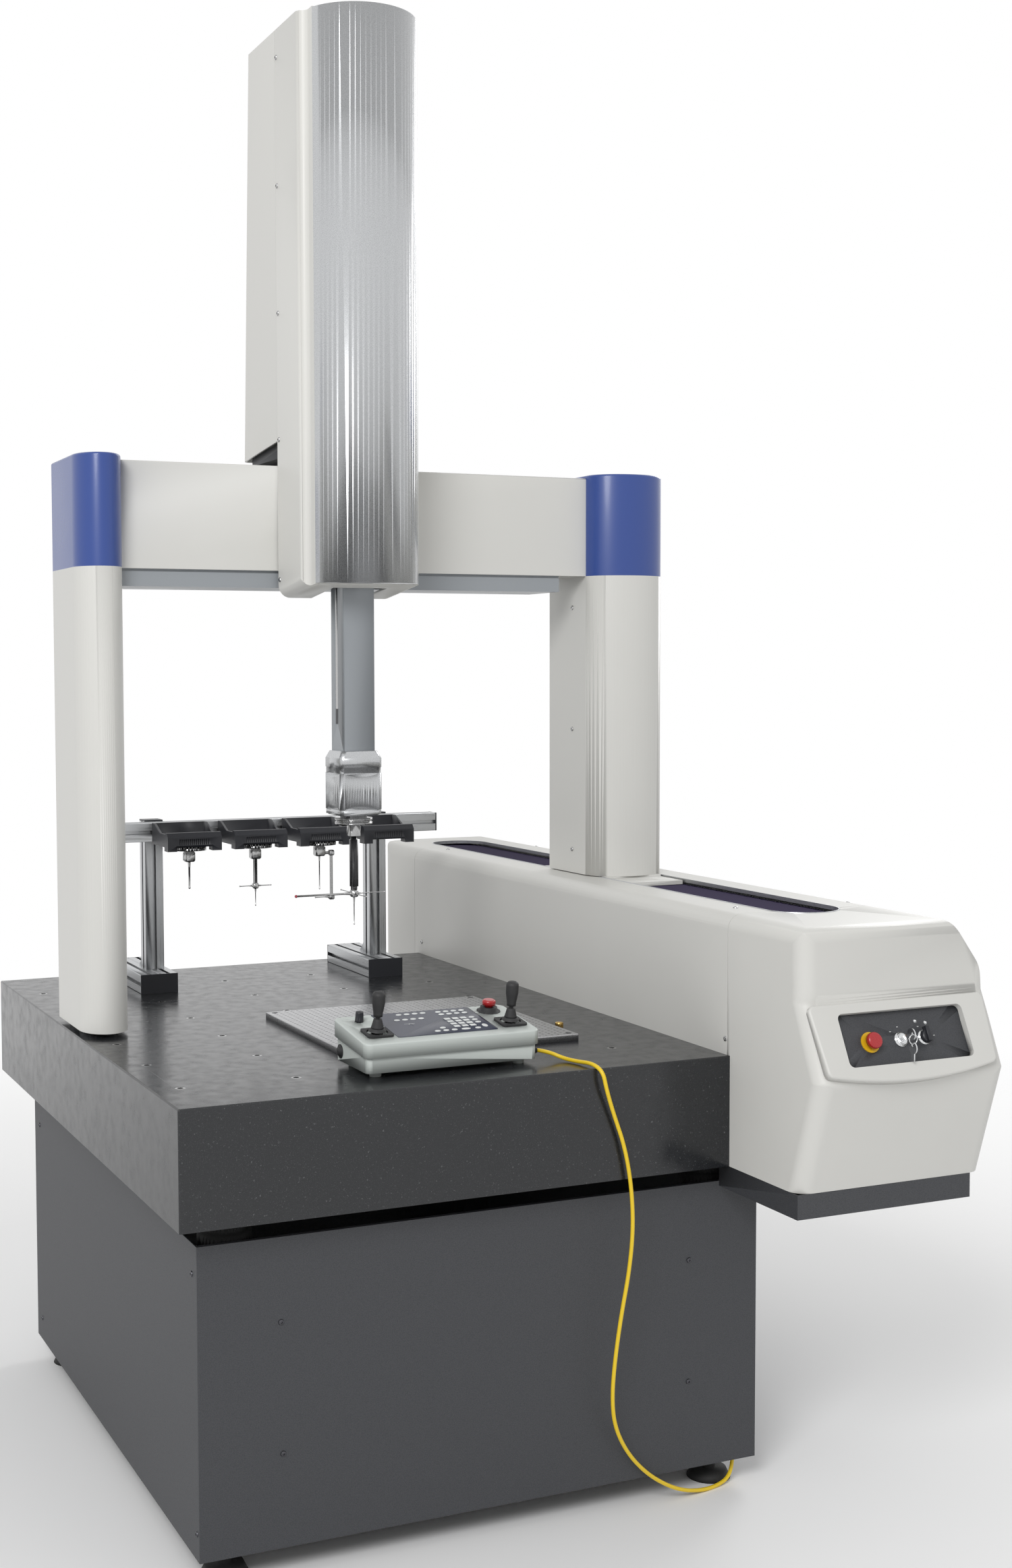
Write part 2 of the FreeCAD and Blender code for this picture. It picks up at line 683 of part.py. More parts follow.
beam_left, beam_right = left_column_left + left_column_width, right_column_left
beam_back = bridge_back - beam_back_inset
beam_wall = 12.0
beam = box(beam_left, beam_right, bridge_front, beam_back, cap_bottom, beam_top)
beam = round_edges(beam, 2.0, lambda e: edge_at(e, z=beam_top, y=bridge_front) or edge_at(e, z=beam_top, y=beam_back))
beam = beam.cut(box(beam_left - over, beam_right + over, bridge_front + beam_wall, beam_back - beam_wall,
                    cap_bottom + beam_wall, beam_top - beam_wall))
save("bridge_beam", beam)

rail_front_inset, rail_back_inset = 6.0, 6.0
rail_stop = 1020.0
rail_front, rail_back = bridge_front + rail_front_inset, beam_back - rail_back_inset
rail_bottom = cap_bottom - rail_height
rail = box(beam_left, rail_stop, rail_front, rail_back, rail_bottom, cap_bottom)
groove = box(beam_left - over, rail_stop + over, rail_front - over, rail_front + 3.0, cap_bottom - 5.0, cap_bottom - 1.5)
save("beam_rail", rail.cut(groove))

# ---------------------------------------------------------------- bridge feet and guide bearings
pad_radius, pad_thickness, stud_radius = 26.0, 14.0, 6.0
foot_pad_radius = 34.0
foot_pad_thickness = 18.0
cross_plate_bottom, cross_plate_thickness = 44.0, 12.0
foot_ys = (bridge_front + 36.0, bridge_back - 40.0)
cross = box(left_column_left + column_wall, beam_left - column_wall, bridge_front + column_wall,
            bridge_back - column_wall, cross_plate_bottom, cross_plate_bottom + cross_plate_thickness)
left_feet = [cross]
for y in foot_ys:
    left_feet.append(rod(foot_pad_radius, foot_pad_thickness, V(left_centre, y, air_gap)))
    left_feet.append(rod(stud_radius * 1.5, cross_plate_bottom - air_gap - foot_pad_thickness,
                         V(left_centre, y, air_gap + foot_pad_thickness)))
saddle_front, saddle_back = 577.0, 857.0
saddle_bottom, saddle_thickness = 160.0, 25.0
saddle_top = saddle_bottom + saddle_thickness
saddle_left, saddle_right = 1060.0, 1298.0
arm_thickness = 20.0
arm_bottom = 25.0
left_arm_face = beam_guide_left - air_gap - pad_thickness - 8.0
right_arm_face = bar_x + bar_width + 8.0
drive_y = (saddle_front + saddle_back) / 2
arm_length = 70.0
roller_radius_y = 14.0
roller_play = 0.05
roller_x = bar_x + bar_width + roller_play + roller_radius_y
shaft_radius, shaft_bore = 5.0, 6.0

neck = box(slot_centre - neck_half, slot_centre + neck_half, neck_front, neck_back, saddle_top, right_column_bottom)
foot_plate = box(slot_centre - neck_half, slot_centre + neck_half, foot_plate_front, foot_plate_back,
                 foot_plate_top - foot_plate_thickness, foot_plate_top)
saddle = box(saddle_left, saddle_right, saddle_front, saddle_back, saddle_bottom, saddle_top)
saddle = saddle.cut(rod(shaft_bore, saddle_thickness, V(roller_x, drive_y, saddle_bottom)))
arms = [box(left_arm_face - arm_thickness, left_arm_face, saddle_front, saddle_back, arm_bottom, saddle_bottom)]
for y in (saddle_front, saddle_back - arm_length):
    arms.append(box(right_arm_face, right_arm_face + arm_thickness, y, y + arm_length, arm_bottom, saddle_bottom))
save("bridge_feet", group([joined(left_feet), joined([neck, foot_plate, saddle] + arms)]))


def air_pad(face_point, outward, reach, radius=pad_radius, thickness=pad_thickness, stud=stud_radius):
    """Round air bearing: its face at face_point, its stud reaching back to the part that carries it."""
    pad = rod(radius, thickness, face_point, outward)
    stem = rod(stud, reach - thickness, face_point + outward * thickness, outward)
    return joined([pad, stem])


guide_pads = []
side_pad_z = 55.0
for y in (saddle_front + pad_radius + 8.0, saddle_back - pad_radius - 8.0):
    for x in (beam_guide_left + 30.0, beam_guide_right - 30.0):
        guide_pads.append(air_pad(V(x, y, beam_guide_height + air_gap), Z,
                                  saddle_bottom - beam_guide_height - air_gap))
    guide_pads.append(air_pad(V(beam_guide_left - air_gap, y, side_pad_z), -X,
                              beam_guide_left - air_gap - left_arm_face))
    guide_pads.append(air_pad(V(beam_guide_right + air_gap, y, side_pad_z), X,
                              right_arm_face - beam_guide_right - air_gap))
save("guide_bearings", group(guide_pads))

motor_radius_y, motor_length_y = 26.0, 46.0
motor = rod(motor_radius_y, motor_length_y, V(roller_x, drive_y, saddle_top))
shaft_in_motor = 12.0
save("y_drive_motor", motor.cut(rod(shaft_bore, shaft_in_motor + joint_gap, V(roller_x, drive_y, saddle_top))))
roller_trim = 1.0
wheel = rod(roller_radius_y, bar_height - 2 * roller_trim, V(roller_x, drive_y, bar_bottom + roller_trim))
shaft = rod(shaft_radius, saddle_top + shaft_in_motor - bar_bottom - roller_trim,
            V(roller_x, drive_y, bar_bottom + roller_trim))
save("y_roller", joined([wheel, shaft]))
pivots["y_roller"] = V(roller_x, drive_y, bar_bottom)


# ---------------------------------------------------------------- upright housing on the carriage
housing_centre = housing_left + housing_width / 2
housing_right = housing_left + housing_width
flange_round, cove = 10.0, 14.0
bottom_rise = 20.0          # underside is this much higher at the front
notch_width, notch_front = 109.0, 545.0
ram_centre_y = ram_front + ram_size / 2


def housing_plan(z):
    """Plan of the front cover: flange, coves and the plinth that carries the curved cover."""
    def side(sign):
        c = housing_centre
        wall = c + sign * housing_width / 2
        foot = c + sign * (plinth_half + cove)
        face = c + sign * plinth_half
        d, k = 1 - math.sqrt(0.5), math.sqrt(0.5)
        p0, p1 = V(wall, housing_seam, z), V(wall, housing_front + flange_round, z)
        p2 = V(wall - sign * flange_round * d, housing_front + flange_round * d, z)
        p3, p4 = V(wall - sign * flange_round, housing_front, z), V(foot, housing_front, z)
        p5 = V(foot - sign * cove * k, housing_front - cove * (1 - k), z)
        p6, p7 = V(face, housing_front - cove, z), V(face, plinth_front, z)
        return [Part.makeLine(p0, p1), Part.Arc(p1, p2, p3).toShape(), Part.makeLine(p3, p4),
                Part.Arc(p4, p5, p6).toShape(), Part.makeLine(p6, p7)], p0, p7
    left, left_back, left_front = side(-1)
    right, right_back, right_front = side(1)
    edges = left + right + [Part.makeLine(left_front, right_front), Part.makeLine(left_back, right_back)]
    return Part.Face(Part.Wire(Part.__sortEdges__(edges)))


def housing_block(inset, radius):
    """Side view of the front cover drawn across, its two lower edges rounded."""
    low = housing_bottom + inset
    points = [(housing_seam, low), (plinth_front, low + bottom_rise),
              (plinth_front, housing_top - inset), (housing_seam, housing_top - inset)]
    block = along_x(points, housing_left + inset, housing_right - inset)
    middle_z = low + bottom_rise / 2
    return round_edges(block, radius, lambda e: abs(e.CenterOfMass.z - middle_z) < 1.0
                       and abs(e.CenterOfMass.x - housing_centre) > housing_width / 2 - inset - 1.0)


outer_round = 24.0
front_cover = housing_block(0, outer_round).common(
    housing_plan(housing_bottom).extrude(V(0, 0, housing_top - housing_bottom)))
w = housing_wall
inside = joined([
    box(housing_left + w, housing_right - w, housing_front + w, housing_seam, housing_bottom, housing_top),
    box(housing_centre - plinth_half + w, housing_centre + plinth_half - w, plinth_front + w, housing_seam,
        housing_bottom, housing_top)])
front_cover = front_cover.cut(housing_block(w, outer_round - w).common(inside))
front_cover = front_cover.cut(box(housing_centre - notch_width / 2, housing_centre + notch_width / 2,
                                  notch_front, housing_seam + over, housing_bottom - over,
                                  housing_bottom + bottom_rise + w))
save("z_front_cover", front_cover)

silver_wall, silver_top_inset = 3.0, 2.0
silver_back = plinth_front - bezel_fit


def silver_plan(inset, back, z):
    """Segment of a circle in plan, taken in by inset and closed at back."""
    half, tip = plinth_half - inset, silver_back - silver_bulge + inset
    a, b = V(housing_centre - half, silver_back, z), V(housing_centre + half, silver_back, z)
    edges = [Part.Arc(a, V(housing_centre, tip, z), b).toShape()]
    if back > silver_back:
        c, d = V(b.x, back, z), V(a.x, back, z)
        edges += [Part.makeLine(b, c), Part.makeLine(c, d), Part.makeLine(d, a)]
    else:
        edges.append(Part.makeLine(b, a))
    return Part.Face(Part.Wire(edges))


silver_top = housing_top - silver_top_inset
silver = silver_plan(0, silver_back, silver_bottom).extrude(V(0, 0, silver_top - silver_bottom))
silver = silver.cut(silver_plan(silver_wall, silver_back + over, silver_bottom + silver_wall).extrude(
    V(0, 0, silver_top - silver_bottom - 2 * silver_wall)))
save("z_silver_cover", silver)

rear_seam_y = housing_seam + joint_gap


def rear_block(inset, front):
    slope = (rear_cover_back_low - rear_cover_back_top) / (housing_top - rear_cover_bottom)
    top, low = housing_top - inset, rear_cover_bottom - (over if inset else 0)
    low_front = rear_cover_bottom + 20.0 - (over if inset else 0)
    points = [(front, low_front), (front, top), (rear_cover_back_top - inset, top),
              (rear_cover_back_top - inset + slope * (top - low), low)]
    block = along_x(points, housing_left + inset, housing_right - inset)
    return round_edges(block, flange_round - inset, lambda e: e.Length > 500.0
                       and abs(e.CenterOfMass.y - front) > 50.0)


save("z_rear_cover", rear_block(0, rear_seam_y).cut(rear_block(w, rear_seam_y - over)))

# ---------------------------------------------------------------- carriage inside the housing
ram_left, ram_right = housing_centre - ram_size / 2, housing_centre + ram_size / 2
ram_back = ram_front + ram_size
channel_half, cheek = 84.0, 12.0
channel_front, back_plate_front, back_plate_back = 530.0, 634.0, 650.0
channel_bottom = 850.0
channel_top = housing_top - w - bezel_fit
strap_height, strap_thickness = 44.0, 8.0
bearing_levels = (900.0, 1380.0)
saddle_half = 108.5
block_bottom, block_top, block_back = 1085.0, 1110.0, 850.0
rear_arm_front, rear_arm_bottom, rear_arm_width = 832.0, 895.0, 50.0
drive_level = 1180.0

channel = [box(housing_centre - channel_half, housing_centre + channel_half, back_plate_front,
               back_plate_back, channel_bottom, channel_top)]
for x in (housing_centre - channel_half, housing_centre + channel_half - cheek):
    channel.append(box(x, x + cheek, channel_front, back_plate_back, channel_bottom, channel_top))
for z in bearing_levels:
    channel.append(box(housing_centre - channel_half, housing_centre + channel_half, channel_front,
                       channel_front + strap_thickness, z - strap_height / 2, z + strap_height / 2))
channel.append(box(housing_centre - saddle_half, housing_centre + saddle_half, back_plate_front, block_back,
                   block_bottom, block_top))
for x in (housing_centre - saddle_half, housing_centre + saddle_half - rear_arm_width):
    channel.append(box(x, x + rear_arm_width, rear_arm_front, block_back, rear_arm_bottom, block_bottom))

roller_radius_x, roller_radius_z = 30.0, 14.0
x_motor_radius, x_motor_length = 22.0, 78.0
x_bracket_bottom, x_bracket_thickness = rail_bottom + 61.0, 6.0
roller_y = rail_back + roller_play + roller_radius_x
bracket = box(housing_centre - saddle_half, housing_centre + saddle_half, rear_arm_front, block_back + 14.0,
              x_bracket_bottom, x_bracket_bottom + x_bracket_thickness)
x_roller_low, x_roller_height = rail_bottom + 10.0, 20.0
channel.append(bracket)
z_bracket = box(ram_right + 2.0, housing_centre + channel_half, ram_front - 2.0, ram_front + 4.0,
                drive_level - 24.0, drive_level + 24.0)
channel.append(z_bracket)
frame_form = joined(channel)
frame_form = frame_form.cut(rod(shaft_bore, x_bracket_thickness, V(housing_centre, roller_y, x_bracket_bottom)))
z_roller_x = ram_right + roller_play + roller_radius_z
frame_form = frame_form.cut(rod(shaft_bore, 6.0, V(z_roller_x, ram_front - 2.0, drive_level), Y))
save("carriage_frame", frame_form)

beam_pad_reach = bridge_front - air_gap - back_plate_back
carriage_pads = []
for x in (housing_centre - 60.0, housing_centre + 60.0):
    for z in (cap_bottom + 45.0, beam_top - 45.0):
        carriage_pads.append(air_pad(V(x, bridge_front - air_gap, z), -Y, beam_pad_reach, pad_radius, 12.0))
        carriage_pads.append(air_pad(V(x + math.copysign(22.0, x - housing_centre), beam_back + air_gap, z), Y,
                                     rear_arm_front - beam_back - air_gap, pad_radius, 12.0))
    for y in (bridge_front + 40.0, beam_back - 40.0):
        carriage_pads.append(air_pad(V(x, y, beam_top + air_gap), Z, block_bottom - beam_top - air_gap,
                                     pad_radius, 12.0))
ram_pad, ram_pad_thickness = 18.0, 8.0
cheek_face = channel_half - cheek
for z in bearing_levels:
    strap_back = channel_front + strap_thickness
    carriage_pads.append(air_pad(V(housing_centre, ram_front - air_gap, z), -Y,
                                 ram_front - air_gap - strap_back, ram_pad, ram_pad_thickness))
    carriage_pads.append(air_pad(V(housing_centre, ram_back + air_gap, z), Y,
                                 back_plate_front - ram_back - air_gap, ram_pad, ram_pad_thickness))
    for sign in (-1, 1):
        face = housing_centre + sign * (ram_size / 2 + air_gap)
        carriage_pads.append(air_pad(V(face, ram_centre_y, z), X * sign,
                                     cheek_face - ram_size / 2 - air_gap, ram_pad, ram_pad_thickness))
save("carriage_bearings", group(carriage_pads))

z_motor_length, z_motor_radius = 36.0, 20.0
z_motor_face = ram_front - 2.0
x_motor_base = x_bracket_bottom + x_bracket_thickness
x_motor = rod(x_motor_radius, x_motor_length, V(housing_centre, roller_y, x_motor_base))
x_motor = x_motor.cut(rod(shaft_bore, shaft_in_motor + joint_gap, V(housing_centre, roller_y, x_motor_base)))
z_motor = rod(z_motor_radius, z_motor_length, V(z_roller_x, z_motor_face, drive_level), -Y)
z_motor = z_motor.cut(rod(shaft_bore, shaft_in_motor + joint_gap, V(z_roller_x, z_motor_face, drive_level), -Y))
save("carriage_motors", group([x_motor, z_motor]))

x_wheel = rod(roller_radius_x, x_roller_height, V(housing_centre, roller_y, x_roller_low))
x_shaft = rod(shaft_radius, x_motor_base + shaft_in_motor - x_roller_low,
              V(housing_centre, roller_y, x_roller_low))
save("x_roller", joined([x_wheel, x_shaft]))
z_wheel_front = ram_front + 6.0
z_wheel_length = 40.0
z_wheel = rod(roller_radius_z, z_wheel_length, V(z_roller_x, z_wheel_front, drive_level), Y)
z_shaft = rod(shaft_radius, z_wheel_front + 5.0 - z_motor_face + shaft_in_motor,
              V(z_roller_x, z_motor_face - shaft_in_motor, drive_level), Y)
save("z_roller", joined([z_wheel, z_shaft]))
pivots["x_roller"] = V(housing_centre, roller_y, x_roller_low)
pivots["z_roller"] = V(z_roller_x, ram_centre_y, drive_level)

# ---------------------------------------------------------------- ram and probe head
ram = box(ram_left, ram_right, ram_front, ram_back, ram_bottom, ram_top)
ram = round_edges(ram, 2.0, is_upright)
groove_width, groove_depth = 12.0, 1.6
groove_y = 589.0
groove_low, groove_high = 574.0, ram_top - 20.0
scale_end = 603.0
fit = 0.2
ram = ram.cut(box(ram_left, ram_left + groove_depth, groove_y - groove_width / 2, groove_y + groove_width / 2,
                  groove_low, groove_high))
save("ram", ram)
strip = box(ram_left + fit, ram_left + groove_depth, groove_y - groove_width / 2 + fit,
            groove_y + groove_width / 2 - fit, scale_end, groove_high - fit)
stop = box(ram_left - bezel_fit + 0.1, ram_left + groove_depth, groove_y - groove_width / 2 + fit,
           groove_y + groove_width / 2 - fit, groove_low + fit, scale_end)
save("ram_scale", joined([strip, stop]))


def octagon(size, chamfer, z):
    """Square outline with cut corners about the ram's axis."""
    h, c = size / 2, size / 2 - chamfer
    points = [(-h, -c), (-c, -h), (c, -h), (h, -c), (h, c), (c, h), (-c, h), (-h, c)]
    corners = [V(housing_centre + x, ram_centre_y + y, z) for x, y in points]
    return Part.makePolygon(corners + corners[:1])


def block(size, chamfer, z0, z1):
    return Part.Face(octagon(size, chamfer, z0)).extrude(V(0, 0, z1 - z0))


head_chamfer, band_height = 7.0, 11.0
band_low = 481.0
lip_height = 11.0
recess_radius, recess_height, recess_depth = 90.0, 8.0, 2.2
collar_top_size = 74.0
collar = Part.makeLoft([octagon(collar_top_size, head_chamfer, ram_bottom),
                        octagon(head_size, head_chamfer, head_shoulder)], True, True)
head = [collar, block(head_size, head_chamfer, band_low + band_height, head_shoulder),
        block(head_size - 2.0, head_chamfer, band_low, band_low + band_height),
        block(head_size, head_chamfer, head_bottom + lip_height, band_low),
        block(head_size - 1.4, head_chamfer, head_bottom + 2.0, head_bottom + lip_height),
        block(head_size - 8.0, head_chamfer, head_bottom, head_bottom + 2.0)]
head = joined(head)
face_y = ram_centre_y - head_size / 2
low_edge, high_edge = head_bottom + lip_height, band_low
low_arc = rod(recess_radius, recess_depth, V(housing_centre, face_y, low_edge + recess_height - recess_radius), Y)
low_arc = low_arc.common(box(housing_centre - head_size, housing_centre + head_size, face_y,
                             face_y + recess_depth, low_edge, low_edge + recess_height))
high_arc = rod(recess_radius, recess_depth, V(housing_centre, face_y, high_edge - recess_height + recess_radius), Y)
high_arc = high_arc.common(box(housing_centre - head_size, housing_centre + head_size, face_y,
                               face_y + recess_depth, high_edge - recess_height, high_edge))
for quarter in range(4):
    for arc in (low_arc, high_arc):
        tool = arc.copy()
        tool.rotate(V(housing_centre, ram_centre_y, 0), Z, 90 * quarter)
        head = head.cut(tool)
save("probe_head", head)

axis = V(housing_centre, ram_centre_y, 0)
disc_top = 394.0
neck_radius = 26.0
disc_low = disc_top - adapter_thickness
cube_top = disc_low - 4.0
adapter = joined([
    rod(neck_radius, head_bottom - disc_top, axis + Z * disc_top),
    rod(adapter_radius, adapter_thickness * 0.35, axis + Z * (disc_top - adapter_thickness * 0.35)),
    rod(adapter_radius - 2.0, adapter_thickness * 0.3, axis + Z * (disc_low + adapter_thickness * 0.35)),
    rod(adapter_radius, adapter_thickness * 0.35, axis + Z * disc_low),
    rod(cube_size / 2, disc_low - cube_top, axis + Z * cube_top),
    block(cube_size, 3.0, cube_top - cube_size + 3.0, cube_top)])
save("probe_adapter", adapter)


def stylus(start, direction, hub, shank_radius, length, ball):
    """Threaded hub, shank and ruby ball, from start along direction."""
    d = V(direction).normalize()
    hub_radius = max(shank_radius * 1.6, 2.2)
    tip = start + d * (length - ball)
    return joined([cone(hub_radius, shank_radius * 1.1, hub, start, d),
                   rod(shank_radius, length - ball - hub, start + d * hub, d),
                   Part.makeSphere(ball, tip)])


def star(centre, half):
    """Small five-way joint."""
    cube = box(centre.x - half, centre.x + half, centre.y - half, centre.y + half, centre.z - half, centre.z + half)
    return cube.makeChamfer(half * 0.35, cube.Edges)


star_half = 7.0
stem_top = cube_top - cube_size + 3.0
joint = axis + Z * star_height
collar_long = 7.0
probe = [rod(stem_radius * 0.7, collar_long, axis + Z * (stem_top - collar_long)),
         rod(stem_radius, stem_top - 2 * collar_long - star_height - star_half,
             axis + Z * (star_height + star_half + collar_long)),
         rod(stem_radius * 0.75, collar_long, axis + Z * (star_height + star_half)),
         star(joint, star_half),
         stylus(joint - X * star_half, -X, 14.0, 2.0, housing_centre - 407.0 - star_half, 3.0),
         stylus(joint + X * star_half, X, 8.0, 0.9, 65.0 - star_half, 1.5),
         stylus(joint - Y * star_half, -Y, 8.0, 0.9, 63.0 - star_half, 1.5),
         stylus(joint + Y * star_half, Y, 8.0, 0.9, 69.5 - star_half, 1.5),
         stylus(joint - Z * star_half, -Z, 14.0, 1.0, star_height - star_half - stylus_tip, 1.5)]
save("stylus_system", joined(probe))


# ---------------------------------------------------------------- stylus rack
slot_mouth, slot_lip, slot_inner, slot_deep = 8.0, 2.5, 16.0, 9.0
end_cap_thickness = 3.0


def profile(cx, cz, y0, y1):
    """Slotted square extrusion drawn along Y about the line x = cx, z = cz."""
    half = profile_size / 2
    bar = box(cx - half, cx + half, y0, y1, cz - half, cz + half)
    bar = round_edges(bar, 1.5, lambda e: abs(e.Length - (y1 - y0)) < 1e-3)
    mouth = box(cx - slot_mouth / 2, cx + slot_mouth / 2, y0, y1, cz + half - slot_lip, cz + half)
    inner = box(cx - slot_inner / 2, cx + slot_inner / 2, y0, y1, cz + half - slot_deep, cz + half - slot_lip)
    for quarter in range(4):
        for tool in (mouth, inner):
            turned = tool.copy()
            turned.rotate(V(cx, 0, cz), Y, 90 * quarter)
            bar = bar.cut(turned)
    return bar


def upright(shape, about):
    """Turn a piece drawn along Y to stand along Z."""
    turned = shape.copy()
    turned.rotate(about, X, 90)
    return turned


half_profile = profile_size / 2
base_seam = 9.0             # seam between a base's two profiles, from the post's left face
rail_middle_y = rack_front + half_profile
post_y = rack_front + profile_size + half_profile
rack_pieces = []
rail_along_y = profile(0.0, rack_rail_top - half_profile, 0.0, rail_right - rail_left)
rail_along_y.rotate(V(0, 0, 0), Z, -90)
rail_along_y.translate(V(rail_left, rail_middle_y, 0))
rack_pieces.append(rail_along_y)
for x in (rail_left - end_cap_thickness, rail_right):
    rack_pieces.append(box(x, x + end_cap_thickness, rack_front, rack_front + profile_size,
                           rack_rail_top - profile_size, rack_rail_top))
for post_x in (left_post, right_post):
    post_length = rack_rail_top - profile_size
    post = upright(profile(0.0, 0.0, 0.0, post_length), V(0, 0, 0))
    post.translate(V(post_x + half_profile, post_y, profile_size))
    rack_pieces.append(post)
    top = profile_size + post_length
    rack_pieces.append(box(post_x, post_x + profile_size, post_y - half_profile, post_y + half_profile,
                           top, top + end_cap_thickness))
    seam = post_x + base_seam
    for cx in (seam - half_profile, seam + half_profile):
        base_back = rack_base_front + rack_base_length
        rack_pieces.append(profile(cx, half_profile, rack_base_front, base_back))
        for y in (rack_base_front - end_cap_thickness, base_back):
            rack_pieces.append(box(cx - half_profile, cx + half_profile, y, y + end_cap_thickness,
                                   0, profile_size))
    corner, web = 34.0, 5.0
    back = post_y + half_profile
    bracket_x0, bracket_x1 = post_x + 6.0, post_x + profile_size - 6.0
    rack_pieces.append(joined([
        box(bracket_x0, bracket_x1, back, back + corner, profile_size, profile_size + web),
        box(bracket_x0, bracket_x1, back, back + web, profile_size, profile_size + corner),
        along_x([(back, profile_size), (back + corner, profile_size), (back, profile_size + corner)],
                bracket_x0, bracket_x0 + web)]))
save("rack_frame", group(rack_pieces))

tray_wall, tray_floor = 5.0, 6.0
tray_back_height, tray_front_height = 44.0, 30.0
comb_teeth, comb_width, comb_tooth = 15, 66.0, 1.8
comb_low, comb_high, comb_depth = 5.0, 17.0, 6.0
jaw_width, jaw_drop, jaw_depth = 20.0, 8.0, 26.0
seat_radius, seat_forward = 16.0, 43.0
holder_front = rack_front - holder_depth
seat_y = holder_front + seat_forward


def holder(cx):
    """Open tray that a parked stylus hangs from, with a toothed recess in its front lip."""
    z = holder_bottom
    x0, x1 = cx - holder_width / 2, cx + holder_width / 2
    side = [(rack_front, z), (rack_front, z + tray_back_height), (rack_front - 17.0, z + tray_back_height),
            (rack_front - 58.0, z + tray_front_height - 3.0), (holder_front + 8.0, z + tray_front_height - 3.0),
            (holder_front + 8.0, z)]
    lip = [(holder_front + 20.0, z), (holder_front + 4.0, z), (holder_front, z + 4.0),
           (holder_front, z + 21.0), (holder_front + 8.0, z + tray_front_height),
           (holder_front + 18.0, z + tray_front_height), (holder_front + 20.0, z + tray_floor)]
    pieces = [box(x0, x1, holder_front + 8.0, rack_front, z, z + tray_floor),
              along_x(side, x0, x0 + tray_wall), along_x(side, x1 - tray_wall, x1), along_x(lip, x0, x1),
              box(x0, x1, rack_front - tray_wall, rack_front, z, z + tray_back_height)]
    for x in (x0, x1 - jaw_width):
        pieces.append(box(x, x + jaw_width, holder_front, holder_front + jaw_depth, z - jaw_drop, z + 5.0))
    tray = joined(pieces)
    tray = tray.cut(rod(seat_radius, tray_floor, V(cx, seat_y, z)))
    pitch = comb_width / comb_teeth
    gaps = [box(cx - comb_width / 2 + i * pitch, cx - comb_width / 2 + (i + 1) * pitch - comb_tooth,
                holder_front, holder_front + comb_depth, z + comb_low, z + comb_high)
            for i in range(comb_teeth)]
    return tray.cut(group(gaps))


holder_centres = [first_holder + holder_pitch * i for i in range(holder_count)]
save("stylus_holders", group([holder(cx) for cx in holder_centres]))

seat_fit = 0.3
hanger_radius, hanger_thickness = 22.0, 5.0
parked_disc_top = holder_bottom - seat_fit
parked_disc_low = parked_disc_top - 9.0
parked_cube_top = parked_disc_low - 2.5


def parked_adapter(cx):
    """Adapter plate hung in a tray: flange above the floor, disc and cube below it."""
    a = V(cx, seat_y, 0)
    floor_top = holder_bottom + tray_floor
    half = cube_size / 2
    cube = box(cx - half, cx + half, seat_y - half, seat_y + half, parked_cube_top - cube_size, parked_cube_top)
    return [rod(hanger_radius, hanger_thickness, a + Z * (floor_top + seat_fit)),
            rod(seat_radius - 1.0, floor_top + seat_fit - parked_disc_top, a + Z * parked_disc_top),
            rod(adapter_radius, parked_disc_top - parked_disc_low, a + Z * parked_disc_low),
            rod(cube_size * 0.4, parked_disc_low - parked_cube_top, a + Z * parked_cube_top),
            cube.makeChamfer(3.0, cube.Edges)]


cube_low = parked_cube_top - cube_size
rods = []
for index, cx in enumerate(holder_centres[:3]):
    a = V(cx, seat_y, 0)
    stylus_set = parked_adapter(cx)
    if index == 0:
        stylus_set.append(stylus(a + Z * cube_low, -Z, 12.0, 2.0, cube_low - 222.0, 2.5))
    if index == 1:
        joint = a + Z * 222.0
        stylus_set += [rod(4.5, cube_low - joint.z - 6.0, joint + Z * 6.0), star(joint, 6.0)]
        stylus_set += [stylus(joint + X * sign * 6.0, X * sign, 8.0, 0.9, 30.0, 1.5) for sign in (-1, 1)]
        stylus_set.append(stylus(joint - Z * 6.0, -Z, 10.0, 0.9, 37.0, 1.5))
    if index == 2:
        elbow, low = a + V(27.0, 0, cube_low + 6.0), a + V(27.0, 0, 190.0)
        stylus_set.append(stylus(a + Z * cube_low, -Z, 12.0, 1.2, cube_low - 207.0, 1.5))
        stylus_set += [rod(3.0, elbow.x - cx - cube_size / 2, V(cx + cube_size / 2, seat_y, elbow.z), X),
                   star(elbow, 6.0), rod(3.4, elbow.z - low.z - 12.0, low + Z * 6.0), star(low, 6.0)]
        stylus_set.append(stylus(low - X * 6.0, -X, 10.0, 0.9, 32.0, 1.5))
    rods.append(joined(stylus_set))
save("parked_styli", group(rods))

# ---------------------------------------------------------------- fixture plate and its screw
plate = box(plate_left, plate_left + plate_size, plate_front, plate_front + plate_size, 0, plate_thickness)
plate = round_edges(plate, 1.5, lambda e: edge_at(e, z=plate_thickness) or is_upright(e))
plate_hole, plate_hole_inset = 6.0, 14.0
corners = [(x, y) for x in (plate_left + plate_hole_inset, plate_left + plate_size - plate_hole_inset)
           for y in (plate_front + plate_hole_inset, plate_front + plate_size - plate_hole_inset)]
plate = plate.cut(group([rod(plate_hole, plate_thickness, V(x, y, 0)) for x, y in corners]))
save("fixture_plate", plate)

screw_x, screw_y = insert_first_x + insert_pitch * 4, insert_first_y + insert_pitch
screw_radius, screw_head = 7.5, 13.0
head = rod(screw_radius, screw_head, V(screw_x, screw_y, 0))
head = head.makeChamfer(1.0, [e for e in head.Edges if edge_at(e, z=screw_head)])
save("fixture_screw", joined([head, rod(insert_bore - 0.2, 18.0, V(screw_x, screw_y, -18.0))]))

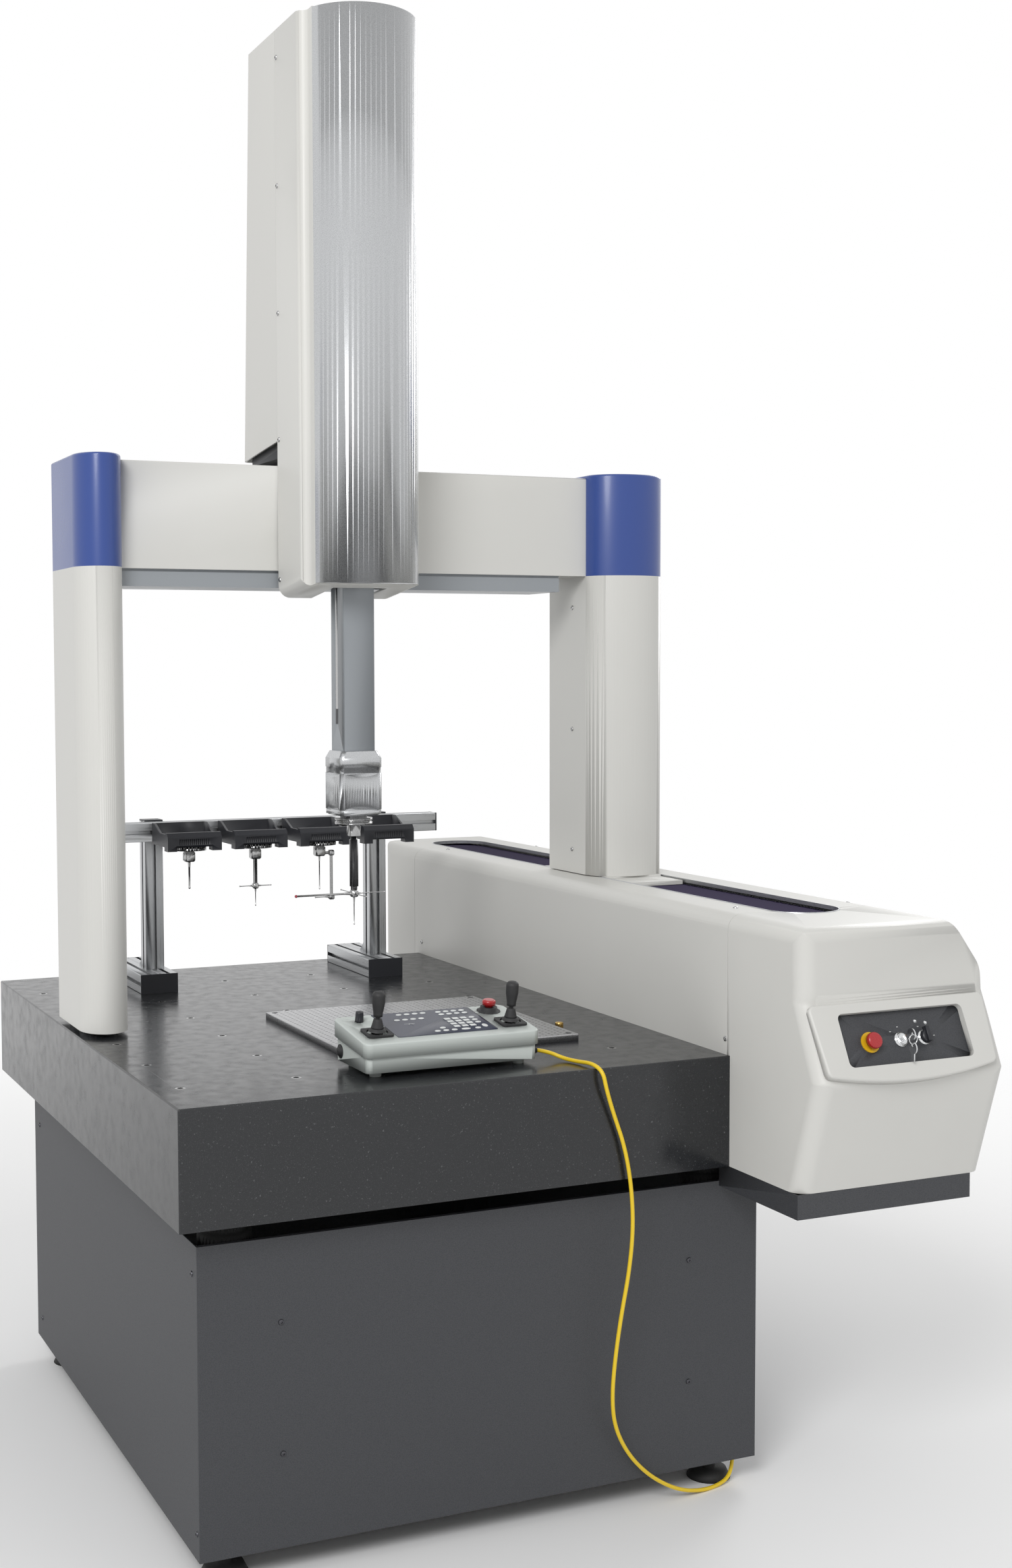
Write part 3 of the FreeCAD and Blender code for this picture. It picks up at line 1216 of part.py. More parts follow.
# ---------------------------------------------------------------- joystick console
console_right = console_left + console_width
console_back = console_front + console_depth
deck_tilt = math.degrees(math.asin(console_rise / console_depth))
console_back_top = console_front_top + console_rise * math.cos(math.radians(deck_tilt))
lip_back = console_lip + 5.0


def on_deck(x, y, shape):
    """Seat a shape drawn upright at the origin on the console's sloping deck."""
    placed = shape.copy()
    placed.rotate(V(0, 0, 0), X, deck_tilt)
    placed.translate(V(x, y, console_front_top + (y - console_front) * math.tan(math.radians(deck_tilt))))
    return placed


deck_back_z = console_front_top + console_depth * math.tan(math.radians(deck_tilt))
shell_side = [(console_front, console_front_top), (console_front, console_front_top - console_lip),
              (console_back, deck_back_z - lip_back), (console_back, deck_back_z)]
shell = along_x(shell_side, console_left, console_right)
shell = round_edges(shell, 14.0, is_upright)
deck_edge = console_front_top + console_depth * math.tan(math.radians(deck_tilt)) / 2
shell = round_edges(shell, 2.5, lambda e: abs(
    e.CenterOfMass.z - console_front_top
    - (e.CenterOfMass.y - console_front) * math.tan(math.radians(deck_tilt))) < 0.8)

stick_ys, stick_centres = 125.0, (384.5, 634.0)
cavity_radius, cavity_depth = 18.5, 17.0
knob_x, knob_y = 380.0, 194.0
estop_x, estop_y = 626.0, 195.0
knob_bore, knob_bore_depth = 3.3, 9.0
press_bore, press_bore_depth = 7.3, 12.0
cuts = [on_deck(x, stick_ys, rod(cavity_radius, cavity_depth + over, V(0, 0, -cavity_depth)))
        for x in stick_centres]
cuts.append(on_deck(knob_x, knob_y, rod(knob_bore, knob_bore_depth + over, V(0, 0, -knob_bore_depth))))
cuts.append(on_deck(estop_x, estop_y, rod(press_bore, press_bore_depth + over, V(0, 0, -press_bore_depth))))
save("console_shell", shell.cut(group(cuts)))

base_left, base_right = console_left + console_inset, console_right - console_inset
base_front, base_back = console_front + console_inset, console_back - console_inset
underside = (deck_back_z - lip_back - console_front_top + console_lip) / console_depth
base_low_z = console_front_top - console_lip
base_side = [(base_front, console_foot), (base_front, base_low_z + underside * console_inset),
             (base_back, base_low_z + underside * (console_depth - console_inset)), (base_back, console_foot)]
base = round_edges(along_x(base_side, base_left, base_right), 9.0, is_upright)
rubber_radius, rubber_inset = 10.0, 24.0
rubber = [rod(rubber_radius, console_foot, V(x, y, 0))
          for x in (base_left + rubber_inset, base_right - rubber_inset)
          for y in (base_front + rubber_inset, base_back - rubber_inset)]
save("console_base", joined([base] + rubber))

foil_left, foil_right, foil_front, foil_thickness = 412.0, 598.0, 97.0, 0.8
foil_length = (console_back - foil_front) / math.cos(math.radians(deck_tilt)) - 4.0
foil = box(0, foil_right - foil_left, 0, foil_length, 0, foil_thickness)
foil = round_edges(foil, 4.0, is_upright)
save("console_keypad", on_deck(foil_left, foil_front, foil))

stick_base_half, stick_base_height = 23.0, 4.0
estop_base_half, estop_base_height, warning_radius = 15.0, 8.0, 21.0
fittings = []
for x in stick_centres:
    plate = box(-stick_base_half, stick_base_half, -stick_base_half, stick_base_half, 0, stick_base_height)
    plate = round_edges(plate, 6.0, is_upright)
    fittings.append(on_deck(x, stick_ys, plate.cut(rod(cavity_radius, stick_base_height, V(0, 0, 0)))))
warning = rod(warning_radius, 1.0, V(0, 0, 0))
pillar = rod(estop_base_half, estop_base_height, V(0, 0, 0))
fittings.append(on_deck(estop_x, estop_y, joined([warning, pillar]).cut(
    rod(press_bore, estop_base_height, V(0, 0, 0)))))
gland_y, gland_z, gland_length = 97.0, 20.0, 8.0
fittings.append(joined([rod(6.5, gland_length * 0.5, V(base_right, gland_y, gland_z), X),
                        rod(5.0, gland_length, V(base_right, gland_y, gland_z), X)]))
plug_y, plug_z = 200.0, 26.0
fittings.append(joined([rod(12.0, 1.5, V(base_left - 1.5, plug_y, plug_z), X),
                        rod(8.0, 4.0, V(base_left - 4.0, plug_y, plug_z), X)]))
stand_gland = V(1064.0, 82.0, frame_bottom - 12.0)
fittings.append(rod(9.0, 12.0, stand_gland))
save("console_fittings", group(fittings))

pivot_drop = 4.0
ring_outer, ring_inner, ring_height, pin_radius = 12.0, 10.0, 6.0, 2.0
dome_radius, dome_wall = 18.0, 2.0
grip_top, collar_at = 74.0, 36.0


def gimbal():
    """Ring that tilts fore and aft on its two pins, with the stick's cross pin inside it."""
    body = rod(ring_outer, ring_height, V(0, 0, -pivot_drop - ring_height / 2))
    pins = rod(pin_radius, 2 * (cavity_radius - pin_fit), V(-cavity_radius + pin_fit, 0, -pivot_drop), X)
    return joined([body, pins]).cut(rod(ring_inner, ring_height * 3, V(0, 0, -pivot_drop - ring_height * 1.5)))


def joystick():
    """Grip, collar, shaft and domed boot, centred on the pivot under the deck."""
    pivot = V(0, 0, -pivot_drop)
    ball = Part.makeSphere(dome_radius, pivot).cut(Part.makeSphere(dome_radius - dome_wall, pivot))
    keep = dome_radius * math.cos(math.radians(58.0)) - pivot_drop
    dome = ball.common(box(-over, over, -over, over, keep, over * 2))
    shaft = rod(4.0, collar_at + pivot_drop, pivot)
    pin = rod(pin_radius, 2 * (ring_inner - pin_fit), V(0, -ring_inner + pin_fit, -pivot_drop), Y)
    boot = cone(11.0, 7.0, 16.0, V(0, 0, dome_radius - pivot_drop - 3.5))
    collar = rod(8.0, 5.0, V(0, 0, collar_at - 5.0))
    grip = cone(8.0, 11.0, 18.0, V(0, 0, collar_at)).fuse(
        rod(11.0, grip_top - collar_at - 18.0, V(0, 0, collar_at + 18.0))).removeSplitter()
    grip = grip.makeFillet(7.0, [e for e in grip.Edges if edge_at(e, z=grip_top)])
    return joined([dome, shaft, pin, boot, collar, grip])


for side, x in zip(("left", "right"), stick_centres):
    save(f"{side}_stick_gimbal", on_deck(x, stick_ys, gimbal()))
    save(f"{side}_stick", on_deck(x, stick_ys, joystick()))
    pivots[f"{side}_stick"] = on_deck(x, stick_ys, Part.Vertex(0, 0, -pivot_drop)).Point

knob_radius, knob_height, knob_gap = 7.5, 17.0, 0.5
flutes = 10
knob = cone(knob_radius, knob_radius - 0.8, knob_height, V(0, 0, knob_gap))
for i in range(flutes):
    angle = 2 * math.pi * i / flutes
    knob = knob.cut(rod(1.0, knob_height, V(knob_radius * math.cos(angle) * 1.05,
                                            knob_radius * math.sin(angle) * 1.05, knob_gap + 3.0)))
spindle = rod(knob_bore - pin_fit, knob_bore_depth, V(0, 0, -knob_bore_depth + knob_gap))
save("console_knob", on_deck(knob_x, knob_y, joined([knob, spindle])))

press_stroke = 3.0
press_head = rod(12.0, 9.0, V(0, 0, estop_base_height + press_stroke + 1.0))
press_head = press_head.makeFillet(4.0, [e for e in press_head.Edges
                                         if edge_at(e, z=estop_base_height + press_stroke + 10.0)])
press_stem = rod(press_bore - pin_fit, estop_base_height + 2 * press_stroke + 1.0, V(0, 0, -press_stroke))
save("console_estop_button", on_deck(estop_x, estop_y, joined([press_head, press_stem])))

# ---------------------------------------------------------------- console cable
cable_radius = 3.5
cable_clear = 0.8
cable_route = [
    V(base_right + gland_length + cable_clear, gland_y, gland_z), V(694, 97, 15), V(714, 82, 5), V(725, 48, 4.2),
    V(733, 12, 7.5), V(739, -15, -2), V(744, -18, -32), V(760, -13, -75), V(783, -12, -135),
    V(797, -11, -205), V(801, -11, -280), V(796, -6, -356), V(784, 0, -432), V(775, 5, -509),
    V(772, 10, -574), V(781, 18, -632), V(812, 30, -688), V(852, 38, -733), V(896, 42, -766),
    V(938, 44, -786), V(984, 52, -796.3), V(1020, 60, -796.3), V(1046, 68, -790), V(1062, 79, -772),
    stand_gland - V(0, 0, cable_clear)]


def cable_path(points):
    """Straight runs joined by arcs as large as the runs allow; prints the radii."""
    edges, radii = [], []
    start = points[0]
    for before, corner, after in zip(points, points[1:], points[2:]):
        one, two = corner - before, after - corner
        turn = one.getAngle(two)
        reach = 0.45 * min(one.Length, two.Length)
        radii.append(reach / math.tan(turn / 2))
        a, b = corner - one.normalize() * reach, corner + two.normalize() * reach
        bisector = ((a + b) * 0.5 - corner).normalize()
        middle = corner + bisector * (radii[-1] / math.cos(turn / 2) - radii[-1])
        edges += [Part.LineSegment(start, a).toShape(), Part.Arc(a, middle, b).toShape()]
        start = b
    edges.append(Part.LineSegment(start, points[-1]).toShape())
    print("cable radii", [round(r) for r in radii])
    return Part.Wire(edges)


path = cable_path(cable_route)
section = Part.Wire(Part.makeCircle(cable_radius, cable_route[0], cable_route[1] - cable_route[0]))
cable = path.makePipeShell([section], True, True)
print("cable length", round(path.Length), "volume ratio",
      round(cable.Volume / (math.pi * cable_radius ** 2 * path.Length), 4))
save("console_cable", cable)

# ---------------------------------------------------------------- origin and files
pivots["panel_estop_button"] = at_control(estop_u, Part.Vertex(0, 0, 0)).Point
pivots["switch_key"] = at_control(key_u, Part.Vertex(0, 0, 0)).Point
pivots["rotary_lever"] = at_control(rotary_u, Part.Vertex(0, 0, 0)).Point
pivots["console_knob"] = on_deck(knob_x, knob_y, Part.Vertex(0, 0, 0)).Point
pivots["console_estop_button"] = on_deck(estop_x, estop_y, Part.Vertex(0, 0, 0)).Point
footprint = FreeCAD.BoundBox()
for node, piece in pieces.items():
    if node != "console_cable":
        footprint.add(piece.optimalBoundingBox(False))
part_origin = V(-round(footprint.Center.x, 2), -round(footprint.Center.y, 2), table_height)
for node, piece in pieces.items():
    placed = piece.copy()
    placed.translate(part_origin)
    placed.exportStep(f"parts/{node}.step")
for name, point in pivots.items():
    place = point + part_origin
    print("pivot", name, round(place.x, 4), round(place.y, 4), round(place.z, 4))
print("origin", part_origin, "nodes", len(pieces), "low", footprint.ZMin + table_height, "high",
      footprint.ZMax + table_height)
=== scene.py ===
# %% [markdown]
# # A bridge-type coordinate measuring machine
# The machine is a granite table on a panelled stand, a bridge that floats over it on air bearings, a tall
# upright on the bridge with a square ram, and a probe at the ram's end. The solids come ready made from the
# CAD model, so this scene gives them their finishes and adds what is too fine for CAD: pleats, screws, keys,
# dark discs of painted shade for the drilled holes, teeth and the free cable. Everything is in metres, in the
# CAD model's own frame.

# %% Load the frame
import bpy
import bmesh
import json
import math
from mathutils import Matrix, Vector
from mathutils.bvhtree import BVHTree


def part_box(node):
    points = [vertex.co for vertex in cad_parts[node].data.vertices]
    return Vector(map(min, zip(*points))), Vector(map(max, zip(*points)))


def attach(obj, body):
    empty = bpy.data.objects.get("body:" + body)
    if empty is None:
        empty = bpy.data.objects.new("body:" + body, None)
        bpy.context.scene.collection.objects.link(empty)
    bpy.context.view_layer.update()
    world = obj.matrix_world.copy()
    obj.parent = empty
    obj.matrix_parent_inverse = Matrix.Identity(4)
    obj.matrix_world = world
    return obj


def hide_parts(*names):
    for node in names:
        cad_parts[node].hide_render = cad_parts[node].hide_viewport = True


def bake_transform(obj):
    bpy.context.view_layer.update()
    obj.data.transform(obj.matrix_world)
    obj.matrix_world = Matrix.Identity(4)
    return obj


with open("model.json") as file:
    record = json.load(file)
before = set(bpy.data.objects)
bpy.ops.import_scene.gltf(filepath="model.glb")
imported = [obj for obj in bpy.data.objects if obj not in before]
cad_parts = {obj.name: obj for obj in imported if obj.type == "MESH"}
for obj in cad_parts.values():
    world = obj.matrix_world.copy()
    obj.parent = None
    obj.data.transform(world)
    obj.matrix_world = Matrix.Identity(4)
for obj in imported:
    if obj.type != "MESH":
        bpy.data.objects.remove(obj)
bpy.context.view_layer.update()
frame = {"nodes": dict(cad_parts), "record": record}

# %% [markdown]
# ## The table corner as a working origin
# Most sizes of such a machine are known from the front left corner of its stone table. The corner is read from
# the table's own box, so a place can be written as millimetres from it, as a fitter would measure it.

# %% Measure from the table's corner
table_low, table_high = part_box("granite_table")
corner = Vector((table_low.x, table_low.y, table_high.z))
MM = 0.001


def at(x, y, z):
    """A place given in millimetres from the table's front left top corner."""
    return corner + Vector((x, y, z)) * MM


print("table corner", [round(v, 4) for v in corner])

# %% [markdown]
# ## The camera
# The picture is taken from the front left with the eye a little above the table, through a moderate lens. The
# camera stands level with the ram's lower half, so upright edges stay upright, and a small sideways shift
# frames the machine without turning the camera.

# %% Set the camera
eye = at(-828.5, -2812.5, 674.1)
heading, tilt, roll = math.radians(23.31), math.radians(-3.37), math.radians(-0.24)
picture_width, picture_height = 1500, 2325
focal_length_px, centre_x, centre_y = 2830.55, 600.0, 1162.0

camera_data = bpy.data.cameras.new("camera")
camera_data.sensor_width = 36.0
camera_data.lens = focal_length_px / picture_height * camera_data.sensor_width
camera_data.shift_x = (picture_width / 2 - centre_x) / picture_height
camera_data.shift_y = (centre_y - picture_height / 2) / picture_height
camera_data.clip_end = 60.0
camera = bpy.data.objects.new("camera", camera_data)
bpy.context.collection.objects.link(camera)
forward = Vector((math.sin(heading) * math.cos(tilt), math.cos(heading) * math.cos(tilt), math.sin(tilt)))
side = forward.cross(Vector((0, 0, 1))).normalized()
upward = side.cross(forward)
right = side * math.cos(roll) + upward * math.sin(roll)
upward = right.cross(forward)
camera.matrix_world = Matrix((
    (right.x, upward.x, -forward.x, eye.x),
    (right.y, upward.y, -forward.y, eye.y),
    (right.z, upward.z, -forward.z, eye.z),
    (0, 0, 0, 1)))
bpy.context.scene.camera = camera
print("lens", round(camera_data.lens, 2), "eye", [round(v, 3) for v in eye])

# %% [markdown]
# ## Shader sums as plain arithmetic
# A procedural finish is mostly arithmetic on patterns. Wrapping a node's output in a small class that knows
# `+` and `*` lets the sums below read like sums, and each one adds its Math node by itself. Every
# other node comes from one method, `add`, which takes the node's settings first and then its inputs.


# %% Wrap shader sockets
class Level:
    """A number that varies over a surface: an output socket of a finish's tree."""

    def __init__(self, finish, socket):
        self.finish, self.socket = finish, socket

    def _sum(self, operation, other):
        return self.finish.add("ShaderNodeMath", {"operation": operation}, {0: self, 1: other})

    def __add__(self, other):
        return self._sum("ADD", other)

    def __mul__(self, other):
        return self._sum("MULTIPLY", other)


class Finish:
    """A material under construction, with its Principled shader and one method that adds nodes."""

    def __init__(self, name, colour, roughness, metallic=0.0, **constants):
        self.material = bpy.data.materials.new(name)
        self.material.use_nodes = True
        self.tree = self.material.node_tree
        self.shader = self.tree.nodes["Principled BSDF"]
        self.shader.inputs["Base Color"].default_value = (*colour, 1)
        self.shader.inputs["Roughness"].default_value = roughness
        self.shader.inputs["Metallic"].default_value = metallic
        for socket, value in constants.items():
            self.shader.inputs[socket.replace("_", " ")].default_value = value

    def add(self, kind, settings=None, inputs=None, output=0):
        node = self.tree.nodes.new(kind)
        for key, value in (settings or {}).items():
            setattr(node, key, value)
        for key, value in (inputs or {}).items():
            self.feed(node.inputs[key], value)
        return Level(self, node.outputs[output])

    def feed(self, socket, value):
        if isinstance(value, Level):
            self.tree.links.new(value.socket, socket)
        elif isinstance(value, tuple) and len(value) == 3 and len(socket.default_value) == 4:
            socket.default_value = (*value, 1)
        else:
            socket.default_value = value

    def place(self):
        return self.add("ShaderNodeTexCoord", output="Object")

    def noise(self, scale, detail=2.0, roughness=0.5):
        return self.add("ShaderNodeTexNoise", inputs={
            "Vector": self.place(), "Scale": scale, "Detail": detail, "Roughness": roughness}, output=0)

    def grains(self, scale, randomness=1.0, output="Distance"):
        return self.add("ShaderNodeTexVoronoi", inputs={
            "Vector": self.place(), "Scale": scale, "Randomness": randomness}, output=output)

    def ramp(self, level, low, high, low_out=0.0, high_out=1.0):
        return self.add("ShaderNodeMapRange", inputs={
            "Value": level, "From Min": low, "From Max": high, "To Min": low_out, "To Max": high_out})

    def blend(self, factor, a, b):
        return self.add("ShaderNodeMix", {"data_type": "RGBA"}, {0: factor, 6: a, 7: b}, output=2)

    def relief(self, height, distance, strength=1.0):
        bump = self.add("ShaderNodeBump", inputs={"Height": height, "Distance": distance, "Strength": strength})
        self.feed(self.shader.inputs["Normal"], bump)

    def vary(self, socket, level):
        self.feed(self.shader.inputs[socket], level)


# %% [markdown]
# ## Painted sheet metal and mouldings
# The covers are sprayed a warm light grey. Sprayed paint is never quite flat: it has a faint orange peel a
# few millimetres across, and handling leaves its gloss slightly uneven. Both come from noise, one as relief
# and one as roughness. The same maker's function gives every paint on the machine, so the paints differ only
# in their numbers.


# %% Mix the paints
def paint(name, colour, roughness, peel=0.00003, uneven=0.06, tone=0.03, metallic=0.0, coat=0.0):
    finish = Finish(name, colour, roughness, metallic, Coat_Weight=coat, Coat_Roughness=0.15)
    cloud = finish.noise(3.0, 3.0)
    finish.vary("Roughness", finish.ramp(cloud, 0.3, 0.7, roughness - uneven, roughness + uneven))
    darker = tuple(c * (1 - tone) for c in colour)
    finish.vary("Base Color", finish.blend(finish.ramp(cloud, 0.35, 0.65), darker, colour))
    finish.relief(finish.noise(420.0, 2.0), peel)
    return finish


cover_paint = paint("cover_paint", (0.66, 0.655, 0.625), 0.42)
blue_paint = paint("blue_paint", (0.022, 0.060, 0.265), 0.32, coat=0.3)
rail_paint = paint("rail_paint", (0.30, 0.32, 0.34), 0.38)
frame_paint = paint("frame_paint", (0.045, 0.046, 0.05), 0.5)
console_plastic = paint("console_plastic", (0.56, 0.60, 0.575), 0.46, peel=0.00005)
print("paints", [f.material.name for f in (cover_paint, blue_paint, rail_paint, frame_paint, console_plastic)])

# %% [markdown]
# ## Textured anthracite, silver and granite
# The stand's panels have a coarse powder coat, which is small round grains in relief. The upright's curved
# front is a silver paint with flakes: tiny cells that each tip the light a little differently. The table is
# fine black granite with pale crystals of two sizes, which is what makes stone look like stone.


# %% Mix anthracite, silver and granite
def powder_coat():
    finish = Finish("powder_coat", (0.05, 0.052, 0.058), 0.55)
    grain = finish.grains(650.0)
    light, dark = (0.06, 0.062, 0.068), (0.038, 0.04, 0.045)
    finish.vary("Base Color", finish.blend(finish.ramp(grain, 0.1, 0.7), light, dark))
    finish.relief(grain, 0.00012)
    return finish


def silver_paint(name="silver_paint", base=(0.50, 0.51, 0.52), roughness=0.28):
    finish = Finish(name, base, roughness, 0.85, Coat_Weight=0.4, Coat_Roughness=0.08)
    flake = finish.grains(2600.0, output="Color")
    bright = finish.add("ShaderNodeSeparateColor", inputs={0: flake})
    lighter = tuple(c * 1.16 for c in base)
    darker = tuple(c * 0.86 for c in base)
    finish.vary("Base Color", finish.blend(bright, darker, lighter))
    finish.vary("Roughness", finish.ramp(bright, 0.0, 1.0, roughness - 0.04, roughness + 0.08))
    return finish


def black_granite():
    finish = Finish("black_granite", (0.018, 0.019, 0.021), 0.22, Specular_IOR_Level=0.5)
    fine = finish.ramp(finish.noise(900.0, 3.0, 0.7), 0.60, 0.70)
    coarse = finish.ramp(finish.noise(260.0, 2.0, 0.6), 0.66, 0.74)
    speck = fine * 0.55 + coarse * 0.45
    finish.vary("Base Color", finish.blend(speck, (0.014, 0.015, 0.017), (0.17, 0.175, 0.18)))
    finish.vary("Roughness", finish.ramp(finish.noise(40.0), 0.3, 0.7, 0.16, 0.28))
    return finish


powder = powder_coat()
silver = silver_paint()
granite = black_granite()
print("panels, silver and stone", powder.material.name, silver.material.name, granite.material.name)

# %% [markdown]
# ## Metals
# Anodised extrusions, ground steel and chrome differ in their grain. Drawing and grinding leave fine lines
# along one direction, so a noise that is squeezed across that direction gives them. Cast and turned parts
# have no long lines and get an even noise.


# %% Mix the metals
def metal(name, colour, roughness, stretch=(1.0, 1.0, 1.0), grain=900.0, depth=0.000004):
    finish = Finish(name, colour, roughness, 1.0)
    squeezed = finish.add("ShaderNodeMapping", inputs={"Vector": finish.place(), "Scale": stretch})
    lines = finish.add("ShaderNodeTexNoise", inputs={"Vector": squeezed, "Scale": grain, "Detail": 2.0})
    finish.vary("Roughness", finish.ramp(lines, 0.3, 0.7, roughness - 0.08, roughness + 0.08))
    darker = tuple(c * 0.86 for c in colour)
    finish.vary("Base Color", finish.blend(finish.ramp(lines, 0.3, 0.7), darker, colour))
    finish.relief(lines, depth)
    return finish


anodised = metal("anodised_aluminium", (0.52, 0.53, 0.54), 0.34, (0.02, 1.0, 1.0))
anodised_up = metal("anodised_upright", (0.52, 0.53, 0.54), 0.34, (1.0, 1.0, 0.02))
anodised_deep = metal("anodised_base", (0.52, 0.53, 0.54), 0.34, (1.0, 0.02, 1.0))
machined = metal("machined_aluminium", (0.62, 0.63, 0.64), 0.3)
steel = metal("steel", (0.45, 0.45, 0.45), 0.22)
chrome = metal("chrome", (0.72, 0.73, 0.74), 0.08, depth=0.0)
brass = metal("brass", (0.60, 0.40, 0.13), 0.25)
# This dark finish is the screws' own black oxide, and on the plate's hole discs it is painted shade.
oxide_and_hole_shade = metal("black_oxide_screws_and_hole_shade", (0.10, 0.10, 0.11), 0.35)
plate_metal = metal("fixture_plate_metal", (0.50, 0.50, 0.51), 0.32, (1.0, 0.05, 1.0))
print("metals", len([m for m in bpy.data.materials if m.name.startswith(("anod", "mach", "steel", "chr", "bra"))]))


# %% [markdown]
# ## Plastics, rubber, cloth and carbon
# Injection moulded plastic has a fine spark-eroded grain. Rubber is duller and has larger grains. The
# bellows are coated cloth with a slight sheen. The cable's sheath is smooth, soft PVC.


# %% Mix the plastics and the cloth
def plastic(name, colour, roughness, grain=1400.0, depth=0.00002, **constants):
    finish = Finish(name, colour, roughness, **constants)
    texture = finish.noise(grain, 2.0)
    finish.vary("Roughness", finish.ramp(texture, 0.3, 0.7, roughness - 0.05, roughness + 0.05))
    finish.vary("Base Color", finish.blend(finish.noise(12.0), tuple(c * 0.9 for c in colour), colour))
    finish.relief(texture, depth)
    return finish


black_plastic = plastic("black_plastic", (0.016, 0.017, 0.022), 0.42)
soft_black = plastic("soft_black", (0.02, 0.02, 0.021), 0.6, 700.0, 0.00004)
rubber = plastic("rubber", (0.018, 0.018, 0.018), 0.7, 500.0, 0.00005)
red_plastic = plastic("red_plastic", (0.42, 0.012, 0.015), 0.28, depth=0.000005, Coat_Weight=0.3)
yellow_plastic = plastic("yellow_plastic", (0.80, 0.48, 0.012), 0.4)
sheath = plastic("cable_sheath", (0.86, 0.60, 0.02), 0.38, 300.0, 0.00001)
foil_dark = plastic("foil", (0.022, 0.028, 0.055), 0.3, depth=0.000004)
key_white = plastic("key_white", (0.74, 0.76, 0.75), 0.32, depth=0.000004)
bellows_cloth = plastic("bellows_cloth", (0.030, 0.020, 0.062), 0.48, 900.0, 0.00003)
carbon = plastic("carbon_rod", (0.012, 0.012, 0.013), 0.24, 1200.0, 0.00001, Coat_Weight=0.4)
ruby = plastic("ruby", (0.35, 0.006, 0.03), 0.08, depth=0.0, Coat_Weight=0.6)
print("finishes so far", len(bpy.data.materials))

# %% [markdown]
# ## Dressing a solid
# A node of the CAD model is a net of separate triangles, which is right for solids but shows facets on a
# curve. A visible node is therefore copied, its doubled corners are merged, and its faces are shaded smooth
# between edges sharper than a set angle. The copy replaces the node, which is hidden. A rule may
# give some faces another finish, by where their loose part lies.


# %% Copy and shade the solids
body_of_node = {node: body for body, nodes in frame["record"]["behaviour"]["bodies"].items() for node in nodes}
SHARP, FLAT_STONE = math.radians(32.0), math.radians(8.0)


def loose_parts(mesh):
    """Lists of face numbers, one for each loose part of a merged mesh."""
    work = bmesh.new()
    work.from_mesh(mesh)
    work.faces.ensure_lookup_table()
    seen, parts = set(), []
    for face in work.faces:
        if face.index in seen:
            continue
        stack, part = [face], []
        seen.add(face.index)
        while stack:
            current = stack.pop()
            part.append(current.index)
            for edge in current.edges:
                for other in edge.link_faces:
                    if other.index not in seen:
                        seen.add(other.index)
                        stack.append(other)
        parts.append(part)
    work.free()
    return parts


def link(name, mesh):
    made = bpy.data.objects.new(name, mesh)
    bpy.context.collection.objects.link(made)
    return made


def dress(node, finishes, rule=None, each_face=False, sharp=SHARP):
    """Replace a node by a smooth copy; rule(low, high, centre) picks a finish by number for a part or face."""
    finishes = finishes if isinstance(finishes, (list, tuple)) else [finishes]
    mesh = frame["nodes"][node].data.copy()
    work = bmesh.new()
    work.from_mesh(mesh)
    bmesh.ops.remove_doubles(work, verts=work.verts, dist=2e-6)
    work.to_mesh(mesh)
    work.free()
    mesh.materials.clear()
    for finish in finishes:
        mesh.materials.append(finish.material)
    if rule:
        parts = [[p.index] for p in mesh.polygons] if each_face else loose_parts(mesh)
        for part in parts:
            points = [mesh.vertices[v].co for f in part for v in mesh.polygons[f].vertices]
            low = Vector([min(p[i] for p in points) for i in range(3)])
            high = Vector([max(p[i] for p in points) for i in range(3)])
            chosen = rule(low, high, (low + high) / 2)
            for f in part:
                mesh.polygons[f].material_index = chosen
    mesh.polygons.foreach_set("use_smooth", [True] * len(mesh.polygons))
    mesh.set_sharp_from_angle(angle=sharp)
    made = link(node + "_dressed", mesh)
    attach(made, body_of_node[node])
    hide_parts(node)
    return made


# %% [markdown]
# ## The stand, the table and its inserts
# The panels hide a welded frame that stands on four levelling feet, and the stone rests on round dampers. The
# steel inserts in the table are turned rings with a thread inside.

# %% Dress the stand and the table
dress("stand_frame", frame_paint)
dress("front_panel", powder)
dress("side_panels", powder)
dress("levelling_feet", rubber)
dress("granite_table", granite, sharp=FLAT_STONE)
dress("table_inserts", steel)
dress("y_guide_beam", granite)
dress("y_drive_bar", steel)
print("stand and table dressed")

# %% [markdown]
# ## The covered guide
# Three moulded covers hide the stone beam that the bridge runs along. The nose carries the controls in a
# raised frame. A dark tray closes the covers below, and a thin metal trim lines the slot in their top.

# %% Dress the covers
for node in ("guide_cover", "guide_front_cover", "guide_rear_cover", "control_bezel"):
    dress(node, cover_paint)
dress("guide_skirt", powder)
dress("slot_trim", anodised)
dress("control_panel", powder)
dress("switch_collars", [chrome, yellow_plastic], lambda low, high, mid: int(high.x - low.x > 0.03))
dress("panel_estop_button", red_plastic)
dress("switch_key", chrome)
dress("spare_key", chrome)
dress("rotary_lever", black_plastic)
print("covers dressed")

# %% [markdown]
# ## The bridge, the upright and the ram
# The columns and the beam are painted, the caps are a deep blue, and the upright has a silver curved front.
# The air bearings, motors and rollers inside stay as they are in CAD, with metal finishes.

